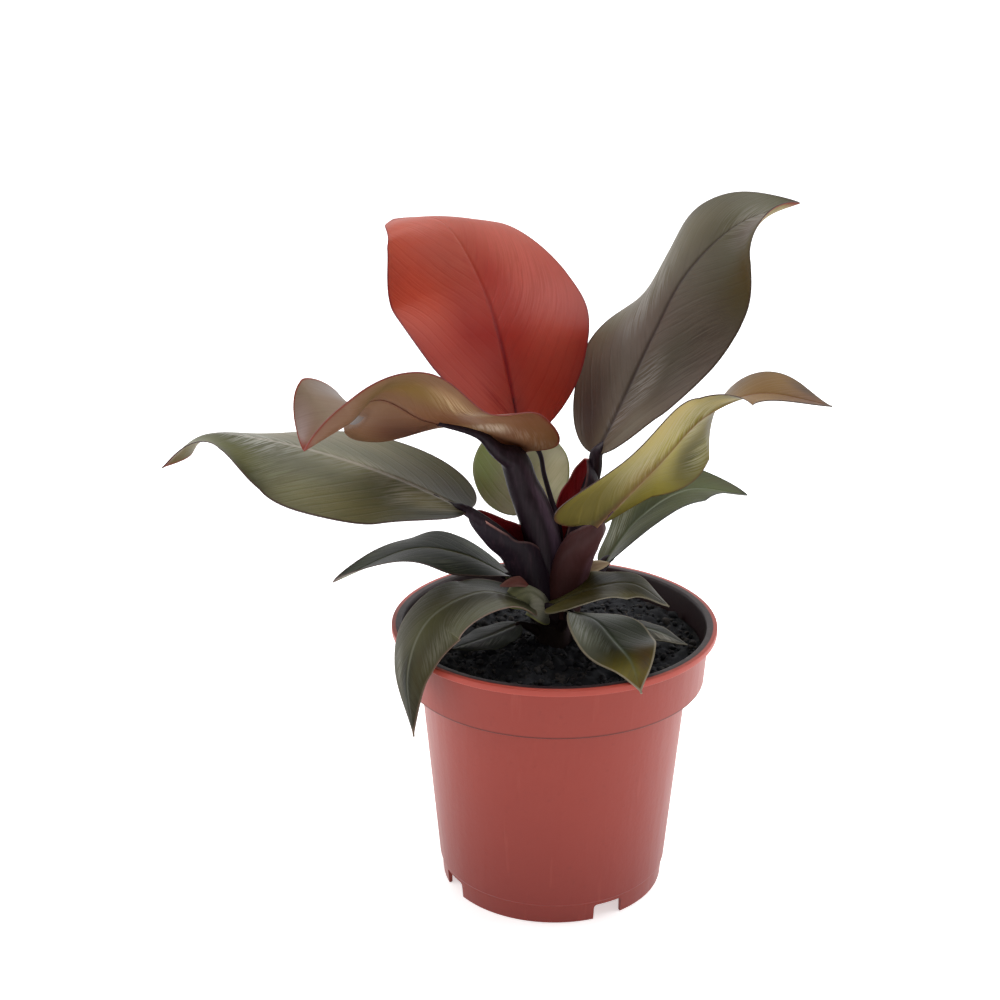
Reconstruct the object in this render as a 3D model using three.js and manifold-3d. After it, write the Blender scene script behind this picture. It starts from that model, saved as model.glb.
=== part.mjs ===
// A young philodendron in a round plastic nursery pot: broad pointed leaves on thick
// petioles that fan out of one short stem, which stands in the potting soil.
// Millimetres, +Z up. The front of the plant faces -Y, and the origin is the centre of
// the pot's base.

import * as THREE from 'three';
import { mergeVertices } from 'three/addons/utils/BufferGeometryUtils.js';
import Module from 'manifold-3d';

const wasm = await Module();
wasm.setup();

// ---- Driving dimensions ----

const gap = 0.35;                 // air between two pieces that lie against each other

const pot = {
  height: 103,
  lipRadius: 60,
  lipThickness: 2.8,
  bandTopRadius: 57,              // the straight collar under the lip
  bandBottomRadius: 55.7,
  bandBottom: 82.4,               // height of the collar's lower edge
  wallTopRadius: 49.7,
  footRadius: 42.3,
  footBand: 7.6,                  // the foot is set in by a shallow step up to here
  footStep: 0.5,
  wall: 1.3,
  floor: 6.6,                     // underside of the raised ring that holds the drain holes
  padRadius: 24,                  // the middle of the floor stands on the ground
  padSlope: 3,
  sides: 56,
};

const footNotch = { width: 11.6, height: 6.2, firstAngle: -62, count: 4 };
const drainHole = { radius: 1.9, ring: 33, count: 8, sides: 10 };

const soil = {
  top: 93.4,                      // height where the soil meets the pot
  mound: 2.2,                     // the middle stands this much higher
  lump: 0.8,                      // unevenness of the surface
  rings: 7,
  sides: 44,
};

const stem = { radius: 7, top: 112, bottom: 84, sides: 12 };

const bladeThickness = 0.8;
const bladeGrid = { large: [15, 8], small: [10, 6] };

// Each blade follows its midrib, from the petiole to the tip. width is across the widest
// place. full is how far up that place lies, and tip how drawn out the point is. fold is
// the angle of each half to the midrib's plane, one value or several along the midrib.
// lobe is how far the margins reach back past the petiole, on the left and right half
// seen from the petiole. twist holds, from petiole to tip, the roll about the midrib and
// the curl of the left and right half in degrees.
const blades = {
  leaf_red: {
    midrib: [[-13, 9, 173], [-19, 21, 200], [-27, 37, 221], [-41, 48, 241], [-60, 61, 240]],
    width: 76, full: 2.25, tip: 0.8, fold: 2, lobe: [13, 16],
    twist: [[23, 6, 15], [-7, 2, 33], [-7, -12, -7], [4, -19, -26], [-2, -6, -6]],
    grid: bladeGrid.large, colour: 0xb0402f,
  },
  leaf_bronze: {
    midrib: [[-12, 2, 168], [-30, -11, 181], [-46, -23, 188], [-61, -30, 197], [-74, -37, 191],
      [-85, -44, 183]],
    width: 68, full: 1.6, tip: 0.8, fold: [5, -14, 9], lobe: [25, 2],
    twist: [[23, 3, 72], [19, 26, 45], [37, -12, 40], [44, -5, 64], [-4, 87, 55], [-8, 83, 4]],
    grid: bladeGrid.large, colour: 0x82694b,
  },
  leaf_long: {
    midrib: [[-31, -14, 151], [-56, -3, 159], [-81, 0, 167], [-105, 0, 173], [-124, -8, 177],
      [-137, -20, 169]],
    width: 58, full: 1.5, tip: 1.2, fold: -12, lobe: [5, 5],
    twist: [[-12, 30, 22], [-17, 6, 10], [-12, -15, -13], [5, -20, -24], [36, 9, -11]],
    grid: bladeGrid.large, colour: 0x646955,
  },
  leaf_tall: {
    midrib: [[15, 10, 164], [25, 21, 181], [36, 25, 205], [47, 25, 227], [64, 23, 245],
      [85, 18, 254]],
    width: 60, full: 2.5, tip: 0.85, fold: 2, lobe: [3, 0],
    twist: [[29, -12, 17], [33, 12, 8], [33, -69, -30], [27, -27, -13], [-11, 37, 58]],
    grid: bladeGrid.large, colour: 0x645a50,
  },
  leaf_gold: {
    midrib: [[13, -20, 148], [34, -19, 170], [51, -11, 185], [71, -8, 192], [93, -23, 192]],
    width: 62, full: 1.3, tip: 1.17, fold: 10, lobe: [23, 28],
    twist: [[-39, 21, 23], [-32, -15, -19], [-35, -43, -34], [6, -12, 2], [5, -5, 1]],
    grid: bladeGrid.large, colour: 0x969150,
  },
  leaf_back: {
    midrib: [[-11, 14, 139], [-12, 30, 147], [-12, 48, 154], [-12, 66, 155]],
    width: 37, full: 1.7, tip: 1, fold: 8, lobe: [6, 6],
    twist: [[0, 0, 0], [0, 0, 0], [0, 0, 0], [0, 0, 0]],
    grid: bladeGrid.small, colour: 0x8c9650,
  },
  leaf_right: {
    midrib: [[19, 12, 121], [32, 18, 136], [51, 30, 143], [74, 33, 140]],
    width: 38, full: 2.15, tip: 0.8, fold: 9, lobe: [10, 11],
    twist: [[-15, 1, 7], [-11, -15, -9], [0, 4, 0], [1, 15, 16]],
    grid: bladeGrid.small, colour: 0x73826e,
  },
  leaf_left: {
    midrib: [[-16, 12, 115], [-34, 12, 124], [-54, 9, 127], [-82, 7, 115]],
    width: 36, full: 1.8, tip: 0.7, fold: 6, lobe: [5, 5],
    twist: [[11, 13, -4], [0, -25, -7], [4, -9, -15], [10, 31, 18]],
    grid: bladeGrid.small, colour: 0x414b2d,
  },
  leaf_droop: {
    midrib: [[-9, -12, 115], [-27, -24, 124], [-45, -30, 116], [-52, -41, 101], [-50, -49, 80]],
    width: 42, full: 1.5, tip: 1.25, fold: -6, lobe: [2, 2],
    twist: [[-18, 9, 19], [8, 13, -4], [9, -13, -13], [4, -8, -5]],
    grid: [13, 6], colour: 0x5a5c4b,
  },
  leaf_front: {
    midrib: [[-3, -14, 114], [12, -19, 123], [27, -19, 125], [40, -23, 118]],
    width: 26, full: 1.7, tip: 1.1, fold: 0, lobe: [4, 4],
    twist: [[4, 3, 2], [3, 9, 5], [1, -8, -7], [-1, -3, -2]],
    grid: bladeGrid.small, colour: 0x3c3c2d,
  },
  leaf_lip: {
    midrib: [[5, -11, 111], [14, -19, 111], [20, -32, 109], [25, -48, 108], [28, -58, 101]],
    width: 31, full: 1.9, tip: 1.35, fold: 2, lobe: [0, 0],
    twist: [[-19, -8, 2], [-17, 12, 13], [-5, 4, -3], [17, -11, 4], [17, -2, 4]],
    grid: [12, 6], colour: 0x465041,
  },
  leaf_sliver: {
    midrib: [[17, -2, 101], [33, -8, 103], [48, -14, 99]],
    width: 14, full: 1.7, tip: 1, fold: 0, lobe: [1, 1],
    twist: [[0, -10, -10], [0, -10, -10], [0, -10, -10]],
    grid: [8, 4], colour: 0x787d69,
  },
  leaf_low: {
    midrib: [[-13, -6, 104], [-25, -14, 102], [-37, -22, 101]],
    width: 18, full: 1.7, tip: 1, fold: 0, lobe: [1, 1],
    twist: [[0, -10, -10], [0, -10, -10], [0, -10, -10]],
    grid: [8, 4], colour: 0x3c4441,
  },
};

// Petioles run from the stem to the blade's base; radii are at the same points. A sheath
// is a channel along the petiole, open towards an angle that counts from +X towards -Y.
const petioles = {
  leaf_red: {
    path: [[-1, 6, 110], [-1, 8, 144], [-4, 8, 153], [-7, 9, 164], [-13, 10, 174]],
    radii: [5, 2.6, 2, 1.8, 1.6],
  },
  leaf_bronze: {
    path: [[-2, -1, 108], [-4, -2, 130], [-8, -2, 146], [-12, -2, 159], [-15, -3, 169],
      [-24, -7, 176], [-36, -13, 182]],
    radii: [6.5, 6.2, 5.8, 5.3, 4.6, 2.8, 1.2],
  },
  leaf_long: {
    path: [[-2, -3, 110], [-9, -6, 125], [-18, -9, 140], [-31, -14, 151]],
    radii: [6.5, 6.8, 6.2, 2.8], sheath: 20,
  },
  leaf_tall: {
    path: [[3, 2, 110], [7, 6, 132], [10, 9, 149], [12, 9, 156], [15, 10, 164]],
    radii: [6.5, 6.6, 6.4, 5.4, 2.8], sheath: 140,
  },
  leaf_gold: {
    path: [[2, -4, 109], [8, -9, 128], [12, -14, 139], [13, -19, 147]],
    radii: [6.5, 6.6, 5.6, 3.6],
  },
  leaf_back: { path: [[-2, 5, 110], [-8, 10, 126], [-11, 14, 139]], radii: [5, 4, 2.6] },
  leaf_right: { path: [[3, 3, 106], [12, 8, 113], [19, 12, 121]], radii: [4, 3, 2.2] },
  leaf_left: { path: [[-2, 3, 104], [-9, 8, 110], [-16, 12, 115]], radii: [4, 3, 2] },
  leaf_droop: { path: [[-1, -3, 106], [-5, -8, 111], [-9, -12, 115]], radii: [4, 3, 2] },
  leaf_front: { path: [[0, -3, 105], [-1, -9, 109], [-3, -14, 114]], radii: [4, 3, 2] },
  leaf_lip: { path: [[1, -3, 101], [3, -7, 106], [5, -11, 111]], radii: [3.5, 2.6, 2] },
  leaf_sliver: { path: [[3, 0, 97], [10, -1, 99], [17, -2, 101]], radii: [2.6, 2, 1.4] },
  leaf_low: { path: [[-3, -1, 97], [-8, -3, 101], [-13, -6, 104]], radii: [2.6, 2, 1.4] },
};
const channel = { start: 0.3, width: 0.72, offset: 0.5 };   // shares of path and radius
const petioleGrid = { sides: 10, steps: 6 };

// ---- Curves and values along a leaf ----

function curveThrough(points) {
  const vectors = points.map((point) => new THREE.Vector3(...point));
  return new THREE.CatmullRomCurve3(vectors, false, 'catmullrom', 0.5);
}

// Half width at u, from 0 at the petiole to 1 at the tip, as a share of the widest.
function outline(u, blade) {
  const shape = (x) => Math.sqrt(x) * Math.max(1 - x ** blade.full, 0) ** blade.tip;
  const widest = (0.5 / (0.5 + blade.tip * blade.full)) ** (1 / blade.full);
  return shape(u) / shape(widest);
}

// A point of a blade: u along the midrib, v from -1 to 1 across, height over its middle
// layer. The section of each half is an arc that starts at the fold angle.
function bladePoint(blade, curves, u, v, height, margin) {
  const along = curves.midrib.getTangent(u);
  const start = blade.midrib[0];
  const end = blade.midrib[blade.midrib.length - 1];
  const heading = Math.atan2(end[1] - start[1], end[0] - start[0]);
  const level = new THREE.Vector3(-Math.sin(heading), Math.cos(heading), 0);
  const flat = level.addScaledVector(along, -level.dot(along)).normalize();
  const up = new THREE.Vector3().crossVectors(along, flat);

  const turn = curves.twist.getPoint(u);
  const roll = THREE.MathUtils.degToRad(turn.x);
  const side = flat.clone().multiplyScalar(Math.cos(roll)).addScaledVector(up, Math.sin(roll));
  const face = up.clone().multiplyScalar(Math.cos(roll)).addScaledVector(flat, -Math.sin(roll));

  const left = v > 0;
  const share = Math.abs(v);
  const fold = THREE.MathUtils.degToRad(curves.fold.getPoint(u).x);
  const curl = THREE.MathUtils.degToRad(left ? turn.y : turn.z) || 1e-4;
  const leastHalf = THREE.MathUtils.lerp(1.5, 0.35, u);
  const half = Math.max(blade.width / 2 * outline(u, blade), leastHalf) + margin;
  const across = (Math.sin(fold + curl * share) - Math.sin(fold)) / curl;
  const rise = (Math.cos(fold) - Math.cos(fold + curl * share)) / curl;
  const back = blade.lobe[left ? 0 : 1] * outline(u, blade) * (1 - u) ** 3 * share ** 1.5;
  const slope = fold + curl * share;
  const out = left ? 1 : -1;

  const beyond = margin * (u === 0 ? -1 : Number(u === 1));
  return curves.midrib.getPoint(u)
    .addScaledVector(along, beyond - back)
    .addScaledVector(side, out * (half * across - height * Math.sin(slope)))
    .addScaledVector(face, half * rise + height * Math.cos(slope));
}

// ---- Closed bodies ----

function closedGeometry(geometry) {
  const bare = geometry.clone();
  bare.deleteAttribute('normal');
  bare.deleteAttribute('uv');
  const merged = mergeVertices(bare, 1e-4);
  const kept = [];
  const index = merged.index.array;
  for (let i = 0; i < index.length; i += 3) {
    const [a, b, c] = [index[i], index[i + 1], index[i + 2]];
    if (a !== b && b !== c && c !== a) kept.push(a, b, c);
  }
  merged.setIndex(kept);
  return merged;
}

function toSolid(geometry) {
  const closed = closedGeometry(geometry);
  return new wasm.Manifold(new wasm.Mesh({
    numProp: 3,
    vertProperties: new Float32Array(closed.attributes.position.array),
    triVerts: new Uint32Array(closed.index.array),
  }));
}

function toGeometry(solid) {
  const mesh = solid.getMesh();
  const geometry = new THREE.BufferGeometry();
  geometry.setAttribute('position', new THREE.BufferAttribute(mesh.vertProperties, 3));
  geometry.setIndex(new THREE.BufferAttribute(mesh.triVerts, 1));
  return geometry;
}

function moveVertices(geometry, place) {
  const position = geometry.attributes.position;
  const vertex = new THREE.Vector3();
  for (let i = 0; i < position.count; i += 1) {
    vertex.fromBufferAttribute(position, i);
    position.setXYZ(i, ...place(vertex).toArray());
  }
  return geometry;
}

// A flat box with its lower face split along the same diagonals as its upper face, so
// that a thin bent blade keeps the same thickness everywhere.
function splitBox(lengthSteps, widthSteps) {
  const box = new THREE.BoxGeometry(1, 1, 1, lengthSteps, widthSteps, 1);
  const lower = box.groups[5];
  for (let i = lower.start; i < lower.start + lower.count; i += 6) {
    const [a, b, d, , c] = box.index.array.slice(i, i + 6);
    box.index.array.set([a, b, c, a, c, d], i);
  }
  return box;
}

// extra grows the blade all round, which is how a neighbour is cut clear of it.
function bladeGeometry(blade, extra = 0) {
  const folds = Array.isArray(blade.fold) ? blade.fold : [blade.fold, blade.fold];
  const curves = {
    midrib: curveThrough(blade.midrib),
    twist: curveThrough(blade.twist),
    fold: curveThrough(folds.map((angle) => [angle, 0, 0])),
  };
  return closedGeometry(moveVertices(splitBox(...blade.grid), (vertex) => {
    const u = vertex.x + 0.5;
    const even = vertex.y * 2;
    const v = Math.sign(even) * Math.abs(even) ** 1.4;
    const height = 2 * vertex.z * (bladeThickness / 2 + extra);
    return bladePoint(blade, curves, u, v, height, extra);
  }));
}

// A round bar along a path. A channel is the narrower bar that hollows out a sheath, and
// runs on past the bar's end.
function petioleGeometry({ path, radii, sheath = 0 }, hollow = false) {
  const curve = curveThrough(path);
  const size = curveThrough(radii.map((radius) => [radius, 0, 0]));
  const { sides, steps } = petioleGrid;
  const tube = new THREE.CylinderGeometry(1, 1, 1, sides, steps);
  const sideways = new THREE.Vector3(1, 0, 0);
  const turn = THREE.MathUtils.degToRad(sheath);
  return moveVertices(tube, (vertex) => {
    const share = vertex.y + 0.5;
    const t = hollow ? THREE.MathUtils.lerp(channel.start, 1, share) : share;
    const along = curve.getTangent(t);
    const right = sideways.clone().addScaledVector(along, -sideways.dot(along)).normalize();
    const ahead = new THREE.Vector3().crossVectors(right, along);
    const radius = size.getPoint(t).x;
    const wide = hollow ? channel.width * radius : radius;
    const off = hollow ? channel.offset * radius : 0;
    return curve.getPoint(t)
      .addScaledVector(along, hollow && share === 1 ? 2 : 0)
      .addScaledVector(right, vertex.x * wide + off * Math.cos(turn))
      .addScaledVector(ahead, vertex.z * wide + off * Math.sin(turn));
  });
}

// ---- The pieces ----

function latheAboutZ(profile, sides) {
  const points = profile.map(([radius, height]) => new THREE.Vector2(radius, height));
  return new THREE.LatheGeometry(points, sides).rotateX(Math.PI / 2);
}

function wallRadius(height) {
  return THREE.MathUtils.mapLinear(height, 0, pot.bandBottom, pot.footRadius, pot.wallTopRadius);
}

function makePot() {
  const { wall } = pot;
  const lipBottom = pot.height - pot.lipThickness;
  const floorTop = pot.floor + wall;
  const profile = [
    [0, 0],
    [pot.padRadius, 0],
    [pot.padRadius + pot.padSlope, pot.floor],
    [pot.footRadius - pot.footStep - wall, pot.floor],
    [pot.footRadius - pot.footStep - wall, 0],
    [pot.footRadius - pot.footStep, 0],
    [wallRadius(pot.footBand) - pot.footStep, pot.footBand],
    [wallRadius(pot.footBand + pot.footStep), pot.footBand + pot.footStep],
    [pot.wallTopRadius, pot.bandBottom],
    [pot.bandBottomRadius - 0.6, pot.bandBottom],
    [pot.bandBottomRadius, pot.bandBottom + 0.8],
    [pot.bandTopRadius, lipBottom],
    [pot.lipRadius - 0.6, lipBottom + 0.3],
    [pot.lipRadius, lipBottom + 1.1],
    [pot.lipRadius - 0.3, pot.height - 0.5],
    [pot.lipRadius - 1.2, pot.height],
    [pot.bandTopRadius - 0.4, pot.height],
    [pot.bandTopRadius - wall, pot.height - 1.1],
    [pot.bandBottomRadius - wall, pot.bandBottom + wall + 0.6],
    [pot.bandBottomRadius - wall - 0.6, pot.bandBottom + wall],
    [pot.wallTopRadius - wall, pot.bandBottom + wall],
    [wallRadius(floorTop) - wall, floorTop],
    [pot.padRadius + pot.padSlope - wall, floorTop],
    [pot.padRadius - wall, wall],
    [0, wall],
  ];
  let body = toSolid(latheAboutZ(profile, pot.sides));

  for (let i = 0; i < footNotch.count; i += 1) {
    const angle = footNotch.firstAngle + i * 360 / footNotch.count;
    const turn = THREE.MathUtils.degToRad(angle - 90);
    const reach = 2 * (pot.footRadius - pot.padRadius - pot.padSlope) - 4 * wall;
    const block = new THREE.BoxGeometry(reach, footNotch.width, 2 * footNotch.height);
    block.translate(pot.footRadius, 0, 0).rotateZ(turn);
    body = body.subtract(toSolid(block));
  }

  for (let i = 0; i < drainHole.count; i += 1) {
    const hole = new THREE.CylinderGeometry(
      drainHole.radius, drainHole.radius, 4 * wall, drainHole.sides,
    );
    hole.rotateX(Math.PI / 2).translate(drainHole.ring, 0, pot.floor);
    hole.rotateZ((i + 0.5) * 2 * Math.PI / drainHole.count);
    body = body.subtract(toSolid(hole));
  }
  return toGeometry(body);
}

// Height of the soil's lumpy surface over a smooth mound.
function lumps(x, y) {
  return soil.lump * (Math.sin(0.31 * x + 1.3) * Math.sin(0.27 * y + 0.4)
    + 0.6 * Math.sin(0.63 * x - 0.41 * y) + 0.4 * Math.sin(0.9 * y + 0.5 * x + 2));
}

function makeSoil() {
  const inset = pot.wall + gap;
  const rim = pot.bandTopRadius - inset - 1;
  const hole = stem.radius + gap;
  const floorTop = pot.floor + pot.wall + gap;
  const profile = [
    [0, pot.wall + gap],
    [pot.padRadius - inset, pot.wall + gap],
    [pot.padRadius + pot.padSlope - inset, floorTop],
    [wallRadius(floorTop) - inset, floorTop],
    [pot.wallTopRadius - inset, pot.bandBottom + inset],
    [pot.bandBottomRadius - inset - 1, pot.bandBottom + inset],
  ];
  for (let ring = 0; ring <= soil.rings; ring += 1) {
    const share = ring / soil.rings;
    const radius = THREE.MathUtils.lerp(rim, hole, share);
    profile.push([radius, soil.top + soil.mound * Math.sin(share * Math.PI / 2)]);
  }
  profile.push([hole, stem.bottom - gap]);
  profile.push([0, stem.bottom - gap]);

  const body = latheAboutZ(profile, soil.sides);
  moveVertices(body, (vertex) => {
    const radius = Math.hypot(vertex.x, vertex.y);
    const loose = vertex.z > soil.top - 0.1 && radius < rim - 1 && radius > hole + 1;
    return loose ? vertex.setZ(vertex.z + lumps(vertex.x, vertex.y)) : vertex;
  });
  return closedGeometry(body);
}

// The stem and the petioles grew as one piece. Each blade cuts its own seat into it.
function makeStem() {
  const { radius, top, bottom, sides } = stem;
  const core = new THREE.CylinderGeometry(radius, radius, top - bottom, sides);
  core.rotateX(Math.PI / 2).translate(0, 0, (top + bottom) / 2);
  let body = toSolid(core);
  for (const petiole of Object.values(petioles)) {
    const bar = toSolid(petioleGeometry(petiole));
    const open = petiole.sheath !== undefined;
    body = body.add(open ? bar.subtract(toSolid(petioleGeometry(petiole, true))) : bar);
  }
  for (const blade of Object.values(blades)) {
    body = body.subtract(toSolid(bladeGeometry(blade, gap)));
  }
  const largest = (a, b) => (a.volume() > b.volume() ? a : b);
  return toGeometry(body.decompose().reduce(largest));
}

// ---- The plant ----

function finish(colour, roughness) {
  return new THREE.MeshStandardMaterial({ color: colour, roughness, metalness: 0 });
}

function piece(name, geometry, material) {
  const mesh = new THREE.Mesh(geometry, material);
  mesh.name = name;
  return mesh;
}

const plant = new THREE.Group();
plant.add(piece('pot', makePot(), finish(0x9a4b45, 0.45)));
plant.add(piece('soil', makeSoil(), finish(0x211f26, 0.95)));
plant.add(piece('stem', makeStem(), finish(0x2d232d, 0.4)));
for (const [name, blade] of Object.entries(blades)) {
  plant.add(piece(name, bladeGeometry(blade), finish(blade.colour, 0.4)));
}

export default plant;
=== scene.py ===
import math
import random

import bmesh
import bpy
from mathutils import Matrix, Vector, noise


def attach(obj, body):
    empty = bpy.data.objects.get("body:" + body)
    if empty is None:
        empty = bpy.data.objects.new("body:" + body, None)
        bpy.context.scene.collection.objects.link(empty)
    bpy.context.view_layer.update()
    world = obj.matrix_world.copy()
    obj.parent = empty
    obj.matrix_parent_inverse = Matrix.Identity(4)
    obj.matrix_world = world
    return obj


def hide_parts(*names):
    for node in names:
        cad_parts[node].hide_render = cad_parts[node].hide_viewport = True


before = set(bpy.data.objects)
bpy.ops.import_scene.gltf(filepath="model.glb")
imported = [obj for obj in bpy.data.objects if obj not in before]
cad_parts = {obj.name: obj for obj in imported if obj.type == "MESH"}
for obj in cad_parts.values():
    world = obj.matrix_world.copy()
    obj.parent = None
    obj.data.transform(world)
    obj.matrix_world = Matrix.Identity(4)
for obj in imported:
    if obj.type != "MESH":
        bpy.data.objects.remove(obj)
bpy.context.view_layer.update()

mm = 0.001


def rgb(red, green, blue):
    # a screen colour, 0 to 255, as the linear colour that a socket takes
    def linear(value):
        value = value / 255
        return value / 12.92 if value <= 0.04045 else ((value + 0.055) / 1.055) ** 2.4
    return (linear(red), linear(green), linear(blue), 1)


class Wire:
    # one socket, so that shader maths reads as plain expressions
    def __init__(self, shade, socket):
        self.shade, self.socket = shade, socket

    def math(self, operation, *values, **settings):
        return self.shade.add("ShaderNodeMath", {"operation": operation, **settings}, [self, *values])

    def __add__(self, other):
        return self.math("ADD", other)

    __radd__ = __add__

    def __sub__(self, other):
        return self.math("SUBTRACT", other)

    def __rsub__(self, other):
        return (self * -1) + other

    def __mul__(self, other):
        return self.math("MULTIPLY", other)

    __rmul__ = __mul__

    def __truediv__(self, other):
        return self.math("DIVIDE", other)

    def __rtruediv__(self, other):
        return self.shade.add("ShaderNodeMath", {"operation": "DIVIDE"}, [other, self])

    def __pow__(self, other):
        return self.math("POWER", other)

    def __abs__(self):
        return self.math("ABSOLUTE")

    def sine(self):
        return self.math("SINE")

    def clamp(self):
        return self.math("MULTIPLY", 1, use_clamp=True)


class Shade:
    # the nodes of one material, or of the world
    def __init__(self, name, kind="materials"):
        self.material = getattr(bpy.data, kind).new(name)
        self.material.use_nodes = True
        self.tree = self.material.node_tree
        self.tree.nodes.clear()

    def add(self, kind, settings=None, inputs=(), output=0):
        node = self.tree.nodes.new(kind)
        settings = dict(settings or {})
        stops = settings.pop("stops", None)
        for key, value in settings.items():
            setattr(node, key, value)
        if stops:
            elements = node.color_ramp.elements
            while len(elements) < len(stops):
                elements.new(0.5)
            for element, (position, colour) in zip(elements, stops):
                element.position, element.color = position, colour
        pairs = inputs.items() if isinstance(inputs, dict) else enumerate(inputs)
        for key, value in pairs:
            if isinstance(value, Wire):
                self.tree.links.new(value.socket, node.inputs[key])
            else:
                node.inputs[key].default_value = value
        return Wire(self, node.outputs[output])

    def place(self):
        return self.add("ShaderNodeTexCoord", output="Object")

    def axes(self, vector):
        return [self.add("ShaderNodeSeparateXYZ", {}, [vector], axis) for axis in "XYZ"]

    def grain(self, where, squeeze, scale):
        # noise drawn out upwards, as fibres and moulding marks are
        drawn = self.add("ShaderNodeMapping", {}, {"Vector": where, "Scale": (1, 1, squeeze)})
        return self.noise(drawn, scale, 3)

    def value(self, name):
        return self.add("ShaderNodeAttribute", {"attribute_name": name}, output="Fac")

    def split(self, name):
        return self.axes(self.add("ShaderNodeAttribute", {"attribute_name": name}, output="Vector"))

    def join(self, x, y, z):
        return self.add("ShaderNodeCombineXYZ", {}, [x, y, z])

    def noise(self, where, scale, detail=2, rough=0.5, warp=0):
        values = {"Vector": where, "Scale": scale, "Detail": detail, "Roughness": rough, "Distortion": warp}
        return self.add("ShaderNodeTexNoise", {}, values, "Fac")

    def mix(self, factor, first, second):
        settings = {"data_type": "RGBA", "clamp_factor": True}
        return self.add("ShaderNodeMix", settings, {0: factor, 6: first, 7: second}, 2)

    def ramp(self, value, stops):
        return self.add("ShaderNodeValToRGB", {"stops": stops}, [value])

    def step(self, value, start, end):
        # 0 before start, 1 after end, smooth between
        settings = {"interpolation_type": "SMOOTHSTEP"}
        values = {"Value": value, "From Min": start, "From Max": end}
        return self.add("ShaderNodeMapRange", settings, values, "Result")

    def patch(self, u, v, spot):
        # a soft oval, 1 in its middle; spot is its place and then its reach in u and v
        du, dv = (u - spot[0]) / spot[2], (v - spot[1]) / spot[3]
        near = (1 - (du * du + dv * dv)).clamp()
        return near * near

    def bump(self, height, distance, strength=1.0):
        values = {"Strength": strength, "Distance": distance, "Height": height}
        return self.add("ShaderNodeBump", {}, values, "Normal")

    def surface(self, colour, roughness, normal=None, through=None, **fixed):
        values = {"Base Color": colour, "Roughness": roughness}
        if normal:
            values["Normal"] = normal
        for key, value in fixed.items():
            values[key.replace("_", " ")] = value
        skin = self.add("ShaderNodeBsdfPrincipled", {}, values)
        if through:
            share, glow = through
            values = {"Color": glow}
            if normal:
                values["Normal"] = normal
            light = self.add("ShaderNodeBsdfTranslucent", {}, values)
            skin = self.add("ShaderNodeMixShader", {}, [share, skin, light])
        return self.finish(skin, "ShaderNodeOutputMaterial")

    def finish(self, skin, kind):
        out = self.tree.nodes.new(kind)
        self.tree.links.new(skin.socket, out.inputs["Surface"])
        return self.material


def onCurve(points, t):
    # uniform Catmull-Rom through the points, the ends carried straight on
    last = len(points) - 1
    i = min(int(t * last), last - 1)
    s = t * last - i
    b, c = points[i], points[i + 1]
    a = points[i - 1] if i > 0 else 2 * b - c
    d = points[i + 2] if i + 2 <= last else 2 * c - b
    return 0.5 * (2 * b + (c - a) * s + (2 * a - 5 * b + 4 * c - d) * s * s
                  + (3 * b - a - 3 * c + d) * s * s * s)


def heading(points, t):
    # the curve's direction there
    step = 0.001
    return (onCurve(points, min(t + step, 1)) - onCurve(points, max(t - step, 0))).normalized()


def vectors(rows, scale=mm):
    return [Vector(row) * scale for row in rows]


def smoothStep(x):
    x = min(max(x, 0), 1)
    return x * x * (3 - 2 * x)


def finishPiece(mesh, name, materials, node=None, sharp=35):
    # turns a bmesh into a piece; edges bent by more than sharp degrees stay crisp
    limit = math.radians(sharp)
    for face in mesh.faces:
        face.smooth = True
    for edge in mesh.edges:
        if len(edge.link_faces) != 2 or edge.calc_face_angle(0) > limit:
            edge.smooth = False
    data = bpy.data.meshes.new(name)
    mesh.to_mesh(data)
    mesh.free()
    piece = bpy.data.objects.new(name, data)
    bpy.context.scene.collection.objects.link(piece)
    for material in materials:
        data.materials.append(material)
    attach(piece, "root")
    if node:
        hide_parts(node)
    return piece


bladeSize = {
    "thick": 0.55,          # mm at the midrib
    "thinEdge": 0.7,        # share of it at the margin
    "least": (1.5, 1.15),   # mm, least half width at the petiole and what it loses by the tip
    "rib": 1.3,             # mm, how far the midrib stands out underneath, at the petiole
    "ribWidth": 1.2,
    "groove": 0.35,         # mm, the midrib's groove on the upper face
    "grooveWidth": 0.8,
    "wave": 0.5,            # mm, how far the margins wave
    "waveRun": 17,          # radians of it from the petiole to the tip
    "waveLead": 2,          # radians by which the left margin is ahead
    "gather": 1.4,          # above 1, the rows of faces lie closer at the midrib
}


def outlineAt(u, leaf):
    # share of the full width; full and tip shape the middle and the point
    full, tip = leaf["full"], leaf["tip"]
    widest = (0.5 / (0.5 + tip * full)) ** (1 / full)
    def shape(x):
        return math.sqrt(x) * max(1 - x ** full, 0) ** tip
    return shape(u) / shape(widest)


def halfWidth(u, leaf):
    least, loss = bladeSize["least"]
    return max(leaf["width"] / 2 * outlineAt(u, leaf), least - loss * u) * mm


def bladeFrame(leaf, u):
    # point, direction, side and face normal on the midrib, with the curls there
    midrib, twist = leaf["points"], leaf["turns"]
    along = heading(midrib, u)
    run = midrib[-1] - midrib[0]
    course = math.atan2(run.y, run.x)
    level = Vector((-math.sin(course), math.cos(course), 0))
    flat = (level - along * level.dot(along)).normalized()
    up = along.cross(flat)
    roll, left, right = onCurve(twist, u)
    side = flat * math.cos(roll) + up * math.sin(roll)
    face = up * math.cos(roll) - flat * math.sin(roll)
    return onCurve(midrib, u), along, side, face, left, right


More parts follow.
